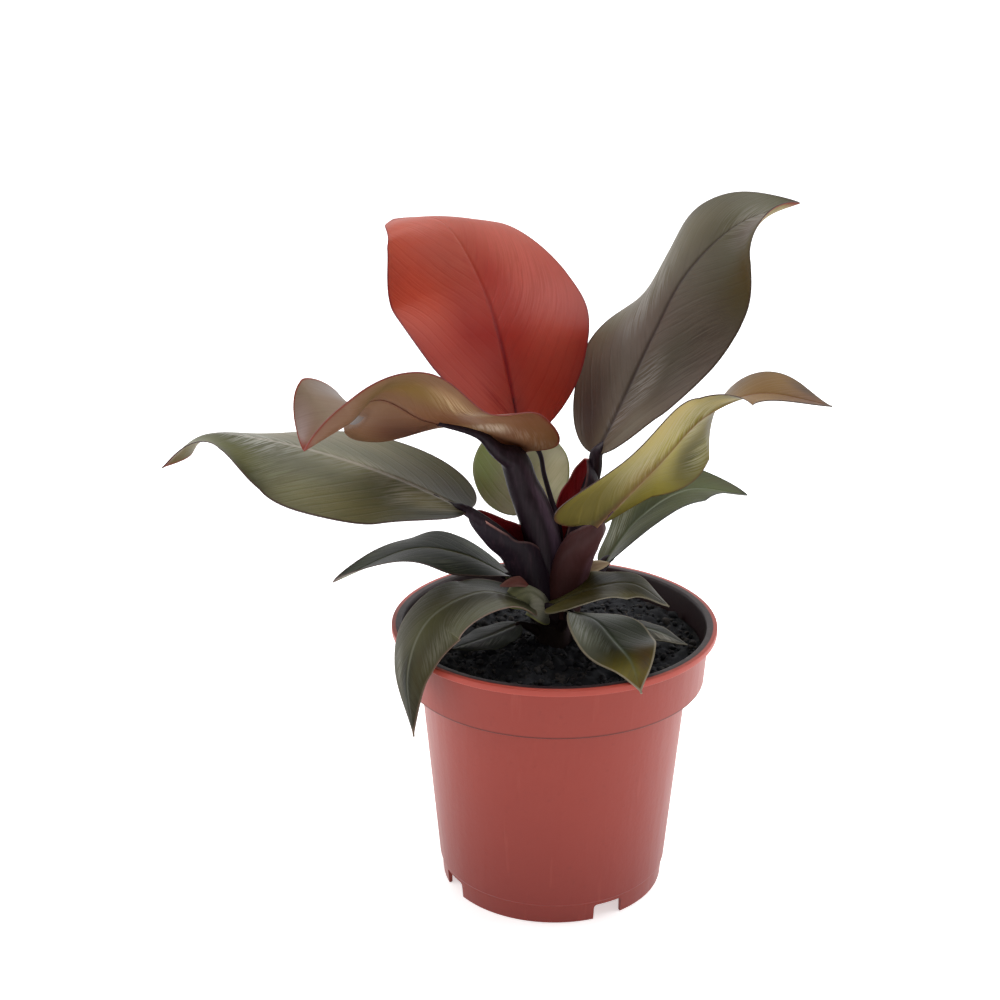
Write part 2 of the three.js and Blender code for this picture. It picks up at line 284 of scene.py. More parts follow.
def bladePoint(leaf, u, v, height, atMidrib):
    # v runs from -1 at the right margin to 1 at the left one
    centre, along, side, face, left, right = atMidrib
    out, curl, lobe, lead = 1, left, leaf["lobe"][0], bladeSize["waveLead"]
    if v <= 0:
        out, curl, lobe, lead = -1, right, leaf["lobe"][1], 0
    curl = curl or 1e-4    # a flat half is never quite flat, as curl divides below
    share = abs(v)
    half = halfWidth(u, leaf)
    fold = onCurve(leaf["folds"], u).x
    slope = fold + curl * share
    across = (math.sin(slope) - math.sin(fold)) / curl
    rise = (math.cos(fold) - math.cos(slope)) / curl
    back = lobe * mm * outlineAt(u, leaf) * (1 - u) ** 3 * share ** 1.5
    ripple = math.sin(u * bladeSize["waveRun"] + lead) * math.sin(math.pi * u)
    wave = leaf.get("wave", bladeSize["wave"]) * mm * share ** 2 * ripple
    return (centre - along * back
            + side * (out * (half * across - height * math.sin(slope)))
            + face * (half * rise + height * math.cos(slope) + wave))


def makeBlade(name, leaf, materials, node=None):
    # a flat grid with a thickness, bent onto the midrib; u runs from the petiole to the tip.
    # The attributes blade and place tell the paint where it is, place in centimetres.
    leaf["points"] = vectors(leaf["midrib"])
    leaf["turns"] = vectors(leaf["twist"], math.pi / 180)
    folds = leaf["fold"] if isinstance(leaf["fold"], list) else [leaf["fold"]] * 2
    leaf["folds"] = vectors([(fold, 0, 0) for fold in folds], math.pi / 180)
    lengthSteps, widthSteps = leaf["grid"]
    mesh = bmesh.new()
    bmesh.ops.create_grid(mesh, x_segments=lengthSteps, y_segments=widthSteps, size=0.5)
    bmesh.ops.solidify(mesh, geom=mesh.faces[:], thickness=0.1)
    bmesh.ops.recalc_face_normals(mesh, faces=mesh.faces)
    for face in mesh.faces:
        face.material_index = 0 if face.normal.z > 0.5 else 1 if face.normal.z < -0.5 else 2
    middle = sum(vertex.co.z for vertex in mesh.verts) / len(mesh.verts)
    blade = mesh.verts.layers.float_vector.new("blade")
    place = mesh.verts.layers.float_vector.new("place")
    samples = 100
    reach, last = [0], onCurve(leaf["points"], 0)    # lengths run along the midrib
    for i in range(1, samples + 1):
        here = onCurve(leaf["points"], i / samples)
        reach.append(reach[-1] + (here - last).length)
        last = here
    frames = {}
    for vertex in mesh.verts:
        u = min(max(vertex.co.x + 0.5, 0), 1)
        even = vertex.co.y * 2
        v = math.copysign(min(abs(even), 1) ** bladeSize["gather"], even)
        key = round(u, 5)
        if key not in frames:
            frames[key] = bladeFrame(leaf, u)
        half = halfWidth(u, leaf)
        across = half * v
        height = bladeSize["thick"] / 2 * mm * (1 - (1 - bladeSize["thinEdge"]) * abs(v))
        if vertex.co.z > middle:
            width = bladeSize["grooveWidth"] * mm
            depth = bladeSize["groove"] * mm * (1 - u)
            height = height - depth * math.exp(-(across / width) ** 2)
        else:
            width = bladeSize["ribWidth"] * mm * (1 - 0.6 * u)
            depth = bladeSize["rib"] * leaf.get("ribShare", 1) * mm * (1 - u) ** 1.3
            height = -height - depth * math.exp(-(across / width) ** 2)
        vertex.co = bladePoint(leaf, u, v, height, frames[key])
        i = min(int(u * samples), samples - 1)
        run = reach[i] + (reach[i + 1] - reach[i]) * (u * samples - i)
        vertex[blade] = Vector((u, v, half * 100))
        vertex[place] = Vector((run, across, (1 - abs(v)) * half)) * 100
    return finishPiece(mesh, name.replace("leaf", "blade"), materials, node, 60)


# the paint of one face, where its own look says nothing else
plainLook = {
    "patches": (), "streaks": (),
    "patchAmount": 0.95,    # of a patch that gives none
    "cloudScale": 38, "driftScale": 60, "speckScale": 150,
    "veinGap": 0.8,         # cm between side veins
    "veinAmount": 0.12, "fibreAmount": 1.1, "mottle": 0.6,
    "ribAmount": 0.7,
    "ribFade": (0.6, 1),    # the rib's colour fades out between these places
    "edgeAmount": 0.9, "tipAmount": 0.8,
    "rough": 0.4, "bump": 0.5, "gloss": 0.2, "through": 0.1,
}
plainUnder = {"rough": 0.5, "edge": (120, 45, 35)}    # what most undersides share


def leafSkin(name, look, upper):
    # along, across and edge, the way to the margin, are in centimetres
    look = {**plainLook, **look}
    tint = {part: rgb(*look[part]) for part in ("vein", "rib", "shade", "edge", "glow")}
    s = Shade(name)
    u, v, half = s.split("blade")
    along, across, edge = s.split("place")
    where = s.place()
    cloud = s.noise(where, look["cloudScale"], 3, 0.55)
    sweep = along - 1.2 * abs(across) - 0.45 * across * across / (half + 0.1)    # as the side veins run
    fibre = s.noise(s.join(sweep * 11, across * 1.3, u * 3), 1, 4, 0.6)
    tone = [(position, rgb(*colour)) for position, colour in look["tone"]]
    colour = s.ramp((u + (cloud - 0.5) * 0.14).clamp(), tone)
    # patches give the leaf's own tints and also painted sheen, painted highlights and painted shade
    for patch in look["patches"]:
        amount = patch[5] if len(patch) > 5 else look["patchAmount"]
        uneven = amount * (0.55 + cloud * 0.5 + fibre * 0.45)
        colour = s.mix(s.patch(u, v, patch) * uneven, colour, rgb(*patch[4]))
    # streaks are painted sheen and painted highlights along the fibres; the dark ones are painted shade
    strand = s.step(fibre, 0.42, 0.6)
    for streak in look["streaks"]:
        colour = s.mix(s.patch(u, v, streak) * strand * streak[5], colour, rgb(*streak[4]))
    fade = s.step(edge, 0, 0.35) * (1 - 0.6 * u)
    drift = s.noise(where, look["driftScale"], 2)
    veins = ((sweep * (math.tau / look["veinGap"]) + drift * 3).sine() * 0.5 + 0.5) ** 10 * fade
    colour = s.mix(veins * look["veinAmount"], colour, tint["vein"])
    colour = s.mix((fibre - 0.42).clamp() * look["fibreAmount"], colour, tint["vein"])
    rib = 1 / (1 + (across / (0.09 - 0.06 * u)) ** 4)
    ribAmount = look["ribAmount"] * (1 - s.step(u, *look["ribFade"]))
    colour = s.mix(rib * ribAmount, colour, tint["rib"])
    mottle = (s.noise(where, look["speckScale"], 4, 0.7) - 0.5).clamp() * look["mottle"]
    colour = s.mix(mottle, colour, tint["shade"])
    colour = s.mix(s.step(edge, 0.1, 0.03) * look["edgeAmount"], colour, tint["edge"])
    colour = s.mix(s.step(u, 0.95, 0.99) * look["tipAmount"], colour, tint["edge"])
    roughness = (look["rough"] + (cloud - 0.5) * 0.15 + (fibre - 0.5) * 0.2).clamp()
    height = veins * (-0.2 if upper else 0.3) + fibre * 0.3 + cloud * 0.6
    height = height - rib * (0.5 if upper else -0.5)
    normal = s.bump(height, 0.0005, look["bump"])
    return s.surface(
        colour, roughness, normal, (look["through"], tint["glow"]),
        Specular_IOR_Level=look["gloss"])


def rimSkin(name, edge):
    # the thin side between the two faces
    s = Shade(name)
    colour = rgb(*edge)
    cloud = s.noise(s.place(), 300, 2)
    darker = (*(value * 0.6 for value in colour[:3]), 1)
    return s.surface(s.mix(cloud * 0.5, colour, darker), 0.45 + cloud * 0.1)


def leafSkins(name, leaf):
    return [
        leafSkin(name + "_top", leaf["top"], True),
        leafSkin(name + "_under", leaf["under"], False),
        rimSkin(name + "_rim", leaf["top"]["edge"]),
    ]


# midrib, width, full, tip, fold, lobe and twist are the solids' own, in millimetres and
# degrees. grid is how many faces a blade has along and across. top and under are the paint
# of its two faces. tone goes from the petiole to the tip. A patch is a soft oval and a
# streak is one that only shows on the fibres: place and reach in u and v, colour, amount.
# Patches give the leaf's own tints and also painted sheen, highlights and shade; streaks
# are painted sheen and highlights, the dark ones painted shade.
leaves = {
    "leaf_red": {
        "midrib": [[-13, 9, 173], [-19, 21, 200], [-27, 37, 221], [-41, 48, 241], [-60, 61, 240]],
        "width": 76, "full": 2.25, "tip": 0.8, "fold": 2, "lobe": [13, 16],
        "twist": [[23, 6, 15], [-7, 2, 33], [-7, -12, -7], [4, -19, -26], [-2, -6, -6]],
        "grid": (110, 60),
        "top": {
            "tone": [(0, (148, 81, 68)), (0.3, (127, 30, 16)), (0.6, (150, 77, 58)), (1, (161, 83, 62))],
            "patches": [
                (0.92, -0.6, 0.4, 0.8, (138, 77, 59)), (0.2, -0.6, 0.3, 0.6, (167, 77, 59)),
                (0.5, 0.75, 0.35, 0.5, (182, 81, 55)), (0.15, 0.7, 0.25, 0.6, (154, 65, 51)),
                (0.85, 0.8, 0.25, 0.5, (164, 74, 45)), (0.45, -0.15, 0.25, 0.35, (136, 47, 31)),
                (0.05, 0, 0.1, 0.5, (125, 60, 52)),
            ],
            "streaks": [
                (0.55, -0.55, 0.45, 0.5, (196, 104, 88), 0.5),
                (0.85, 0.3, 0.25, 0.8, (204, 118, 100), 0.55),
                (0.1, 0.45, 0.12, 0.25, (84, 20, 22), 0.8),
            ],
            "vein": (120, 30, 28), "rib": (70, 14, 22), "ribFade": (0.2, 0.62), "ribAmount": 0.9,
            "shade": (120, 40, 34), "edge": (110, 40, 40), "glow": (230, 60, 30), "through": 0.3,
        },
        "under": {
            "tone": [(0, (140, 46, 34)), (0.5, (176, 76, 52)), (1, (180, 90, 66))],
            "vein": (140, 50, 36), "rib": (96, 28, 30), "shade": (130, 52, 38), "edge": (110, 40, 40),
            "glow": (230, 60, 30), "through": 0.3,
        },
    },
    "leaf_bronze": {
        "midrib": [[-12, 2, 168], [-30, -11, 181], [-46, -23, 188], [-61, -30, 197], [-74, -37, 191],
                   [-85, -44, 183]],
        "width": 68, "full": 1.6, "tip": 0.8, "fold": [5, -14, 9], "lobe": [25, 2],
        "twist": [[23, 3, 72], [19, 26, 45], [37, -12, 40], [44, -5, 64], [-4, 87, 55], [-8, 83, 4]],
        "grid": (120, 64), "ribShare": 1.6,
        "top": {
            "tone": [(0, (128, 114, 102)), (0.5, (115, 97, 91)), (0.8, (121, 105, 88)), (1, (126, 93, 80))],
            "patches": [
                (0.95, -0.7, 0.15, 0.5, (146, 128, 123)), (0.75, 0.45, 0.12, 0.4, (70, 46, 34), 1),
                (0.62, -0.8, 0.2, 0.4, (139, 135, 133)),
            ],
            "vein": (110, 90, 80), "rib": (70, 45, 45), "shade": (90, 72, 64), "edge": (120, 45, 35),
            "glow": (200, 130, 50), "gloss": 0.04, "rough": 0.6, "through": 0.03,
        },
        "under": {
            "tone": [(0, (138, 99, 75)), (0.3, (125, 81, 54)), (0.65, (127, 99, 75)), (1, (124, 91, 72))],
            "patches": [
                (0.26, 0.5, 0.12, 0.4, (154, 114, 86)), (0.49, 0.68, 0.08, 0.4, (153, 115, 81)),
                (0.38, -0.35, 0.22, 0.45, (81, 53, 45)), (0.55, 0.45, 0.15, 0.35, (127, 100, 49)),
                (0.08, 0.75, 0.15, 0.5, (141, 97, 59)), (0.2, 0, 0.12, 0.3, (154, 118, 83)),
                (0.9, 0.2, 0.15, 0.6, (125, 87, 64)), (0.65, 0.6, 0.12, 0.4, (119, 98, 61)),
                (0.65, -0.5, 0.2, 0.5, (132, 102, 86), 0.8),
                (0.19, 0.32, 0.07, 0.3, (196, 168, 144), 0.6),
            ],
            "streaks": [
                (0.2, 0.3, 0.07, 0.35, (236, 214, 188), 1),
                (0.42, 0.64, 0.14, 0.3, (218, 190, 144), 0.9),
                (0.13, 0.5, 0.07, 0.4, (206, 172, 146), 0.7),
                (0.33, -0.1, 0.12, 0.35, (74, 50, 40), 0.6),
                (0.05, 0.7, 0.06, 0.3, (196, 170, 150), 0.7),
            ],
            "vein": (120, 84, 56), "rib": (104, 60, 48), "shade": (112, 80, 54), "glow": (210, 140, 50),
            "through": 0.25, "rough": 0.45,
        },
    },
    "leaf_long": {
        "midrib": [[-31, -14, 151], [-56, -3, 159], [-81, 0, 167], [-105, 0, 173], [-124, -8, 177],
                   [-137, -20, 169]],
        "width": 58, "full": 1.5, "tip": 1.2, "fold": -12, "lobe": [5, 5],
        "twist": [[-12, 30, 22], [-17, 6, 10], [-12, -15, -13], [5, -20, -24], [36, 9, -11]],
        "grid": (120, 56),
        "top": {
            "tone": [(0, (40, 38, 25)), (0.3, (115, 113, 83)), (0.7, (41, 38, 25)),
                     (0.93, (109, 105, 71)), (1, (105, 102, 73))],
            "patches": [
                (0.55, -0.75, 0.35, 0.9, (117, 108, 85)), (0.15, -0.9, 0.2, 0.4, (80, 82, 43)),
                (0.3, -0.3, 0.25, 0.4, (97, 96, 73)), (0.1, 0.25, 0.12, 0.4, (142, 138, 101)),
                (0.35, 0.8, 0.3, 0.5, (125, 118, 77)), (0.72, 0.5, 0.25, 0.7, (80, 80, 32)),
            ],
            "streaks": [
                (0.12, 0.3, 0.16, 0.45, (188, 184, 164), 0.8), (0.3, 0, 0.4, 0.3, (158, 154, 136), 0.6),
                (0.62, 0, 0.2, 0.5, (196, 196, 184), 0.6), (0.5, 0.6, 0.3, 0.4, (140, 140, 104), 0.5),
            ],
            "vein": (66, 70, 58), "rib": (166, 160, 150), "shade": (66, 70, 56), "edge": (66, 44, 40),
            "glow": (120, 150, 40), "ribAmount": 0.55,
        },
        "under": {
            "tone": [(0, (96, 90, 60)), (0.6, (112, 110, 58)), (1, (104, 84, 48))],
            "vein": (96, 90, 56), "rib": (92, 60, 50), "shade": (100, 96, 60), "glow": (150, 170, 50),
        },
    },
    "leaf_tall": {
        "midrib": [[15, 10, 164], [25, 21, 181], [36, 25, 205], [47, 25, 227], [64, 23, 245],
                   [85, 18, 254]],
        "width": 60, "full": 2.5, "tip": 0.85, "fold": 2, "lobe": [3, 0],
        "twist": [[29, -12, 17], [33, 12, 8], [33, -69, -30], [27, -27, -13], [-11, 37, 58]],
        "grid": (120, 60),
        "top": {
            "tone": [(0, (91, 77, 60)), (0.4, (100, 88, 79)), (0.75, (71, 66, 45)), (1, (60, 59, 23))],
            "patches": [
                (0.12, 0.6, 0.2, 0.6, (53, 29, 23)), (0.12, -0.6, 0.2, 0.5, (112, 102, 87)),
                (0.6, 0.55, 0.25, 0.6, (98, 92, 71)), (0.75, -0.85, 0.25, 0.5, (74, 62, 29)),
                (0.35, -0.45, 0.2, 0.5, (76, 69, 54)), (0.25, -0.15, 0.12, 0.35, (86, 79, 67)),
                (0.4, 0.9, 0.2, 0.4, (94, 86, 67)), (0.85, -0.3, 0.12, 0.5, (86, 74, 66)),
            ],
            "streaks": [
                (0.5, 0.45, 0.2, 0.4, (176, 172, 166), 0.6),
                (0.27, -0.25, 0.14, 0.3, (166, 158, 150), 0.7),
                (0.14, -0.1, 0.14, 0.3, (150, 140, 134), 0.7),
                (0.85, -0.1, 0.15, 0.8, (140, 136, 124), 0.5), (0.4, -0.7, 0.3, 0.3, (62, 50, 44), 0.6),
            ],
            "vein": (70, 60, 52), "rib": (46, 34, 34), "shade": (72, 62, 52), "edge": (60, 44, 34),
            "glow": (160, 120, 40),
        },
        "under": {
            "tone": [(0, (110, 84, 54)), (0.6, (128, 110, 66)), (1, (130, 116, 66))],
            "vein": (104, 82, 50), "rib": (90, 56, 46), "shade": (104, 84, 54), "glow": (180, 150, 50),
        },
    },
    "leaf_gold": {
        "midrib": [[13, -20, 148], [34, -19, 170], [51, -11, 185], [71, -8, 192], [93, -23, 192]],
        "width": 62, "full": 1.3, "tip": 1.17, "fold": 10, "lobe": [23, 28],
        "twist": [[-39, 21, 23], [-32, -15, -19], [-35, -43, -34], [6, -12, 2], [5, -5, 1]],
        "grid": (120, 60), "ribShare": 1.2,
        "top": {
            "tone": [(0, (104, 70, 19)), (0.5, (116, 81, 39)), (0.8, (105, 71, 14)),
                     (0.93, (76, 35, 10)), (1, (83, 44, 19))],
            "patches": [
                (0.74, -0.9, 0.12, 0.3, (108, 73, 19)), (0.88, 0.8, 0.1, 0.4, (48, 24, 10)),
                (0.6, 0.3, 0.15, 0.8, (101, 74, 30)),
            ],
            "vein": (130, 100, 66), "rib": (110, 64, 48), "shade": (120, 92, 58), "edge": (70, 48, 34),
            "glow": (210, 180, 60),
        },
        "under": {
            "tone": [(0, (52, 46, 18)), (0.35, (159, 147, 66)), (0.65, (57, 46, 18)), (1, (131, 119, 56))],
            "patches": [
                (0.4, -0.65, 0.2, 0.6, (182, 159, 80)), (0.42, 0.7, 0.16, 0.7, (52, 53, 18)),
                (0.6, 0.6, 0.14, 0.8, (64, 55, 27)), (0.08, -0.6, 0.15, 0.6, (100, 91, 46)),
                (0.2, 0.1, 0.12, 0.5, (129, 104, 53)), (0.6, -0.25, 0.12, 0.3, (156, 137, 65)),
            ],
            "streaks": [
                (0.28, -0.2, 0.2, 0.5, (214, 202, 158), 0.65),
                (0.45, -0.1, 0.14, 0.6, (220, 212, 176), 0.65),
                (0.47, 0.75, 0.12, 0.3, (200, 196, 150), 0.6),
                (0.55, 0.5, 0.08, 0.3, (70, 60, 34), 0.5),
            ],
            "vein": (134, 120, 60), "rib": (118, 76, 56), "shade": (128, 112, 54), "edge": (80, 52, 40),
            "glow": (200, 200, 60), "through": 0.3, "rough": 0.45,
        },
    },
    "leaf_back": {
        "midrib": [[-11, 14, 139], [-12, 30, 147], [-12, 48, 154], [-12, 66, 155]],
        "width": 37, "full": 1.7, "tip": 1, "fold": 8, "lobe": [6, 6],
        "twist": [[0, 0, 0], [0, 0, 0], [0, 0, 0], [0, 0, 0]],
        "grid": (70, 40),
        "top": {
            "tone": [(0, (142, 132, 112)), (1, (64, 51, 41))],
            "patches": [
                (0.35, -0.8, 0.4, 0.6, (202, 196, 164)), (0.5, 0.8, 0.4, 0.6, (98, 108, 40)),
            ],
            "vein": (90, 98, 56), "rib": (150, 150, 110), "shade": (84, 90, 50), "edge": (120, 120, 90),
            "glow": (150, 170, 40), "through": 0.35,
        },
        "under": {
            "tone": [(0, (110, 118, 64)), (1, (120, 128, 72))],
            "vein": (96, 104, 60), "rib": (110, 90, 60), "shade": (96, 100, 56), "edge": (120, 110, 80),
            "glow": (150, 170, 40), "through": 0.35,
        },
    },
    "leaf_right": {
        "midrib": [[19, 12, 121], [32, 18, 136], [51, 30, 143], [74, 33, 140]],
        "width": 38, "full": 2.15, "tip": 0.8, "fold": 9, "lobe": [10, 11],
        "twist": [[-15, 1, 7], [-11, -15, -9], [0, 4, 0], [1, 15, 16]],
        "grid": (80, 44),
        "top": {
            "tone": [(0, (78, 77, 41)), (0.5, (65, 69, 27)), (1, (79, 77, 59))],
            "patches": [
                (0.4, 0, 0.3, 0.6, (42, 45, 10)), (0.8, 0, 0.3, 0.8, (78, 84, 52)),
                (0.1, -0.8, 0.15, 0.5, (53, 53, 28)),
            ],
            "streaks": [
                (0.2, 0.5, 0.2, 0.5, (178, 180, 160), 0.8), (0.35, 0.7, 0.2, 0.4, (150, 152, 130), 0.6),
                (0.1, -0.7, 0.12, 0.3, (54, 56, 40), 0.6),
            ],
            "vein": (74, 86, 68), "rib": (130, 136, 116), "shade": (70, 80, 62), "edge": (50, 52, 44),
            "glow": (120, 160, 50), "gloss": 0.05, "through": 0.06,
        },
        "under": {
            "tone": [(0, (104, 110, 80)), (1, (112, 118, 84))],
            "vein": (90, 96, 66), "rib": (90, 70, 56), "shade": (92, 96, 68), "edge": (90, 60, 50),
            "glow": (140, 170, 60),
        },
    },
    "leaf_left": {
        "midrib": [[-16, 12, 115], [-34, 12, 124], [-54, 9, 127], [-82, 7, 115]],
        "width": 36, "full": 1.8, "tip": 0.7, "fold": 6, "lobe": [5, 5],
        "twist": [[11, 13, -4], [0, -25, -7], [4, -9, -15], [10, 31, 18]],
        "grid": (80, 44),
        "top": {
            "tone": [(0, (13, 16, 10)), (0.5, (16, 19, 10)), (1, (23, 20, 10))],
            "patches": [
                (0.15, -0.9, 0.2, 0.4, (18, 21, 10)), (0.5, -0.2, 0.3, 0.8, (12, 17, 10)),
                (0.9, -0.2, 0.15, 0.8, (29, 34, 10)), (0.6, 0.9, 0.4, 0.3, (30, 34, 10)),
            ],
            "streaks": [
                (0.25, -0.7, 0.2, 0.35, (120, 124, 104), 0.3),
                (0.8, -0.7, 0.15, 0.35, (120, 124, 104), 0.25),
                (0.5, 0.7, 0.25, 0.3, (110, 114, 96), 0.5),
            ],
            "vein": (52, 60, 38), "rib": (96, 98, 76), "shade": (48, 54, 34), "edge": (70, 52, 44),
            "glow": (110, 150, 40), "gloss": 0.05, "through": 0.06,
        },
        "under": {
            "tone": [(0, (88, 90, 60)), (1, (98, 98, 66))],
            "vein": (76, 78, 52), "rib": (84, 60, 50), "shade": (78, 78, 52), "edge": (90, 60, 50),
            "glow": (130, 160, 50),
        },
    },
    "leaf_droop": {
        "midrib": [[-9, -12, 115], [-27, -24, 124], [-45, -30, 116], [-52, -41, 101], [-50, -49, 80]],
        "width": 42, "full": 1.5, "tip": 1.25, "fold": -6, "lobe": [2, 2],
        "twist": [[-18, 9, 19], [8, 13, -4], [9, -13, -13], [4, -8, -5]],
        "grid": (100, 48),
        "top": {
            "tone": [(0, (23, 21, 11)), (0.4, (62, 57, 35)), (0.75, (62, 56, 32)), (1, (30, 21, 11))],
            "patches": [
                (0.3, 0.8, 0.4, 0.6, (87, 86, 61)), (0.55, 0, 0.2, 0.6, (78, 76, 47)),
                (0.2, -0.7, 0.3, 0.7, (30, 32, 11)), (0.8, -0.1, 0.2, 0.5, (23, 21, 12)),
            ],
            "streaks": [
                (0.35, 0.6, 0.3, 0.45, (124, 124, 106), 0.6),
                (0.62, 0.7, 0.2, 0.35, (126, 124, 106), 0.6),
                (0.72, -0.6, 0.12, 0.3, (160, 160, 146), 0.5),
            ],
            "vein": (70, 74, 56), "rib": (110, 110, 92), "shade": (62, 64, 48), "edge": (112, 90, 76),
            "edgeAmount": 0.45, "glow": (120, 150, 50), "gloss": 0.08, "through": 0.06,
        },
        "under": {
            "tone": [(0, (126, 124, 72)), (1, (120, 112, 72))],
            "vein": (104, 100, 60), "rib": (92, 60, 50), "shade": (100, 96, 60), "glow": (150, 170, 50),
        },
    },
    "leaf_front": {
        "midrib": [[-3, -14, 114], [12, -19, 123], [27, -19, 125], [40, -23, 118]],
        "width": 26, "full": 1.7, "tip": 1.1, "fold": 0, "lobe": [4, 4],
        "twist": [[4, 3, 2], [3, 9, 5], [1, -8, -7], [-1, -3, -2]],
        "grid": (80, 40),
        "top": {
            "tone": [(0, (112, 105, 61)), (0.3, (70, 63, 29)), (1, (22, 20, 10))],
            "patches": [
                (0.65, -0.85, 0.3, 0.35, (90, 84, 51)), (0.5, 0.5, 0.3, 0.6, (22, 20, 10)),
                (0.9, 0, 0.12, 1, (43, 37, 20)),
            ],
            "streaks": [
                (0.45, -0.7, 0.4, 0.3, (128, 124, 106), 0.6),
                (0.15, 0.5, 0.12, 0.4, (104, 102, 84), 0.6),
            ],
            "vein": (48, 48, 34), "rib": (80, 78, 60), "shade": (44, 44, 32), "edge": (120, 112, 92),
            "edgeAmount": 0.6, "glow": (110, 130, 40), "gloss": 0.12, "through": 0.06,
        },
        "under": {
            "tone": [(0, (96, 92, 60)), (1, (100, 94, 64))],
            "vein": (80, 76, 50), "rib": (84, 58, 48), "shade": (80, 76, 50), "glow": (140, 150, 50),
        },
    },
    "leaf_lip": {
        "midrib": [[5, -11, 111], [14, -19, 111], [20, -32, 109], [25, -48, 108], [28, -58, 101]],
        "width": 31, "full": 1.9, "tip": 1.35, "fold": 2, "lobe": [0, 0],
        "twist": [[-19, -8, 2], [-17, 12, 13], [-5, 4, -3], [17, -11, 4], [17, -2, 4]],
        "grid": (80, 40),
        "top": {
            "tone": [(0, (76, 69, 42)), (0.2, (57, 64, 46)), (0.6, (36, 33, 16)),
                     (0.85, (109, 98, 38)), (1, (83, 44, 13))],
            "patches": [
                (0.3, -0.8, 0.45, 0.7, (132, 134, 118)), (0.4, 0.2, 0.3, 0.6, (47, 51, 32)),
                (0.75, 0.6, 0.2, 0.6, (78, 58, 36)), (0.88, -0.3, 0.12, 0.5, (99, 88, 34)),
            ],
            "streaks": [
                (0.3, -0.7, 0.3, 0.4, (206, 208, 200), 0.9),
                (0.45, -0.4, 0.25, 0.3, (136, 140, 128), 0.6),
            ],
            "vein": (58, 68, 52), "rib": (90, 100, 82), "shade": (50, 58, 44), "edge": (140, 130, 110),
            "glow": (130, 150, 40), "gloss": 0.12, "through": 0.06,
        },
        "under": {
            "tone": [(0, (104, 108, 76)), (1, (120, 112, 62))],
            "vein": (86, 90, 60), "rib": (84, 62, 48), "shade": (84, 88, 58), "edge": (110, 80, 60),
            "glow": (140, 160, 50),
        },
    },
    "leaf_sliver": {
        "midrib": [[17, -2, 101], [33, -8, 103], [48, -14, 99]],
        "width": 14, "full": 1.7, "tip": 1, "fold": 0, "lobe": [1, 1],
        "twist": [[0, -10, -10], [0, -10, -10], [0, -10, -10]],
        "grid": (50, 24), "wave": 0.3,
        "top": {
            "tone": [(0, (19, 21, 15)), (1, (33, 31, 29))],
            "patches": [
                (0.75, -0.4, 0.3, 0.6, (97, 93, 84)),
            ],
            "streaks": [
                (0.7, -0.5, 0.25, 0.5, (168, 164, 154), 0.8),
            ],
            "vein": (84, 90, 76), "rib": (126, 130, 116), "shade": (80, 86, 70), "edge": (110, 104, 90),
            "glow": (130, 150, 60), "gloss": 0.12, "through": 0.06,
        },
        "under": {
            "tone": [(0, (96, 100, 72)), (1, (104, 106, 78))],
            "vein": (84, 88, 60), "rib": (84, 70, 54), "shade": (84, 86, 60), "edge": (90, 70, 56),
            "glow": (140, 160, 60),
        },
    },
    "leaf_low": {
        "midrib": [[-13, -6, 104], [-25, -14, 102], [-37, -22, 101]],
        "width": 18, "full": 1.7, "tip": 1, "fold": 0, "lobe": [1, 1],
        "twist": [[0, -10, -10], [0, -10, -10], [0, -10, -10]],
        "grid": (50, 24), "wave": 0.3,
        "top": {
            "tone": [(0, (78, 82, 80)), (1, (25, 26, 27))],
            "patches": [
                (0.7, 0.35, 0.3, 0.5, (84, 83, 90)), (0.3, -0.6, 0.3, 0.5, (25, 26, 27)),
            ],
            "streaks": [
                (0.55, 0.5, 0.3, 0.35, (140, 140, 138), 0.9),
                (0.85, 0.2, 0.15, 0.4, (136, 136, 130), 0.8),
            ],
            "vein": (48, 56, 52), "rib": (120, 124, 116), "shade": (44, 50, 46), "edge": (60, 60, 54),
            "glow": (90, 120, 60), "gloss": 0.12, "through": 0.06,
        },
        "under": {
            "tone": [(0, (84, 90, 70)), (1, (90, 94, 74))],
            "vein": (72, 78, 58), "rib": (70, 60, 50), "shade": (70, 74, 56), "edge": (80, 64, 54),
            "glow": (120, 140, 60),
        },
    },
}

for name, leaf in leaves.items():
    leaf["under"] = {**plainUnder, **leaf["under"]}
    makeBlade(name, leaf, leafSkins(name, leaf), name)
print("blades made:", len(leaves))


stemSize = {
    "radius": 7, "top": 111, "bottom": 84.2, "sides": 40, "steps": 12,
    "petioleSides": 28, "petioleSteps": 48,
    "under": 0.1,    # share of a blade's length that its petiole runs on beneath the midrib
    "taper": 0.55,   # what is left of its radius at each of the two points of that run
}

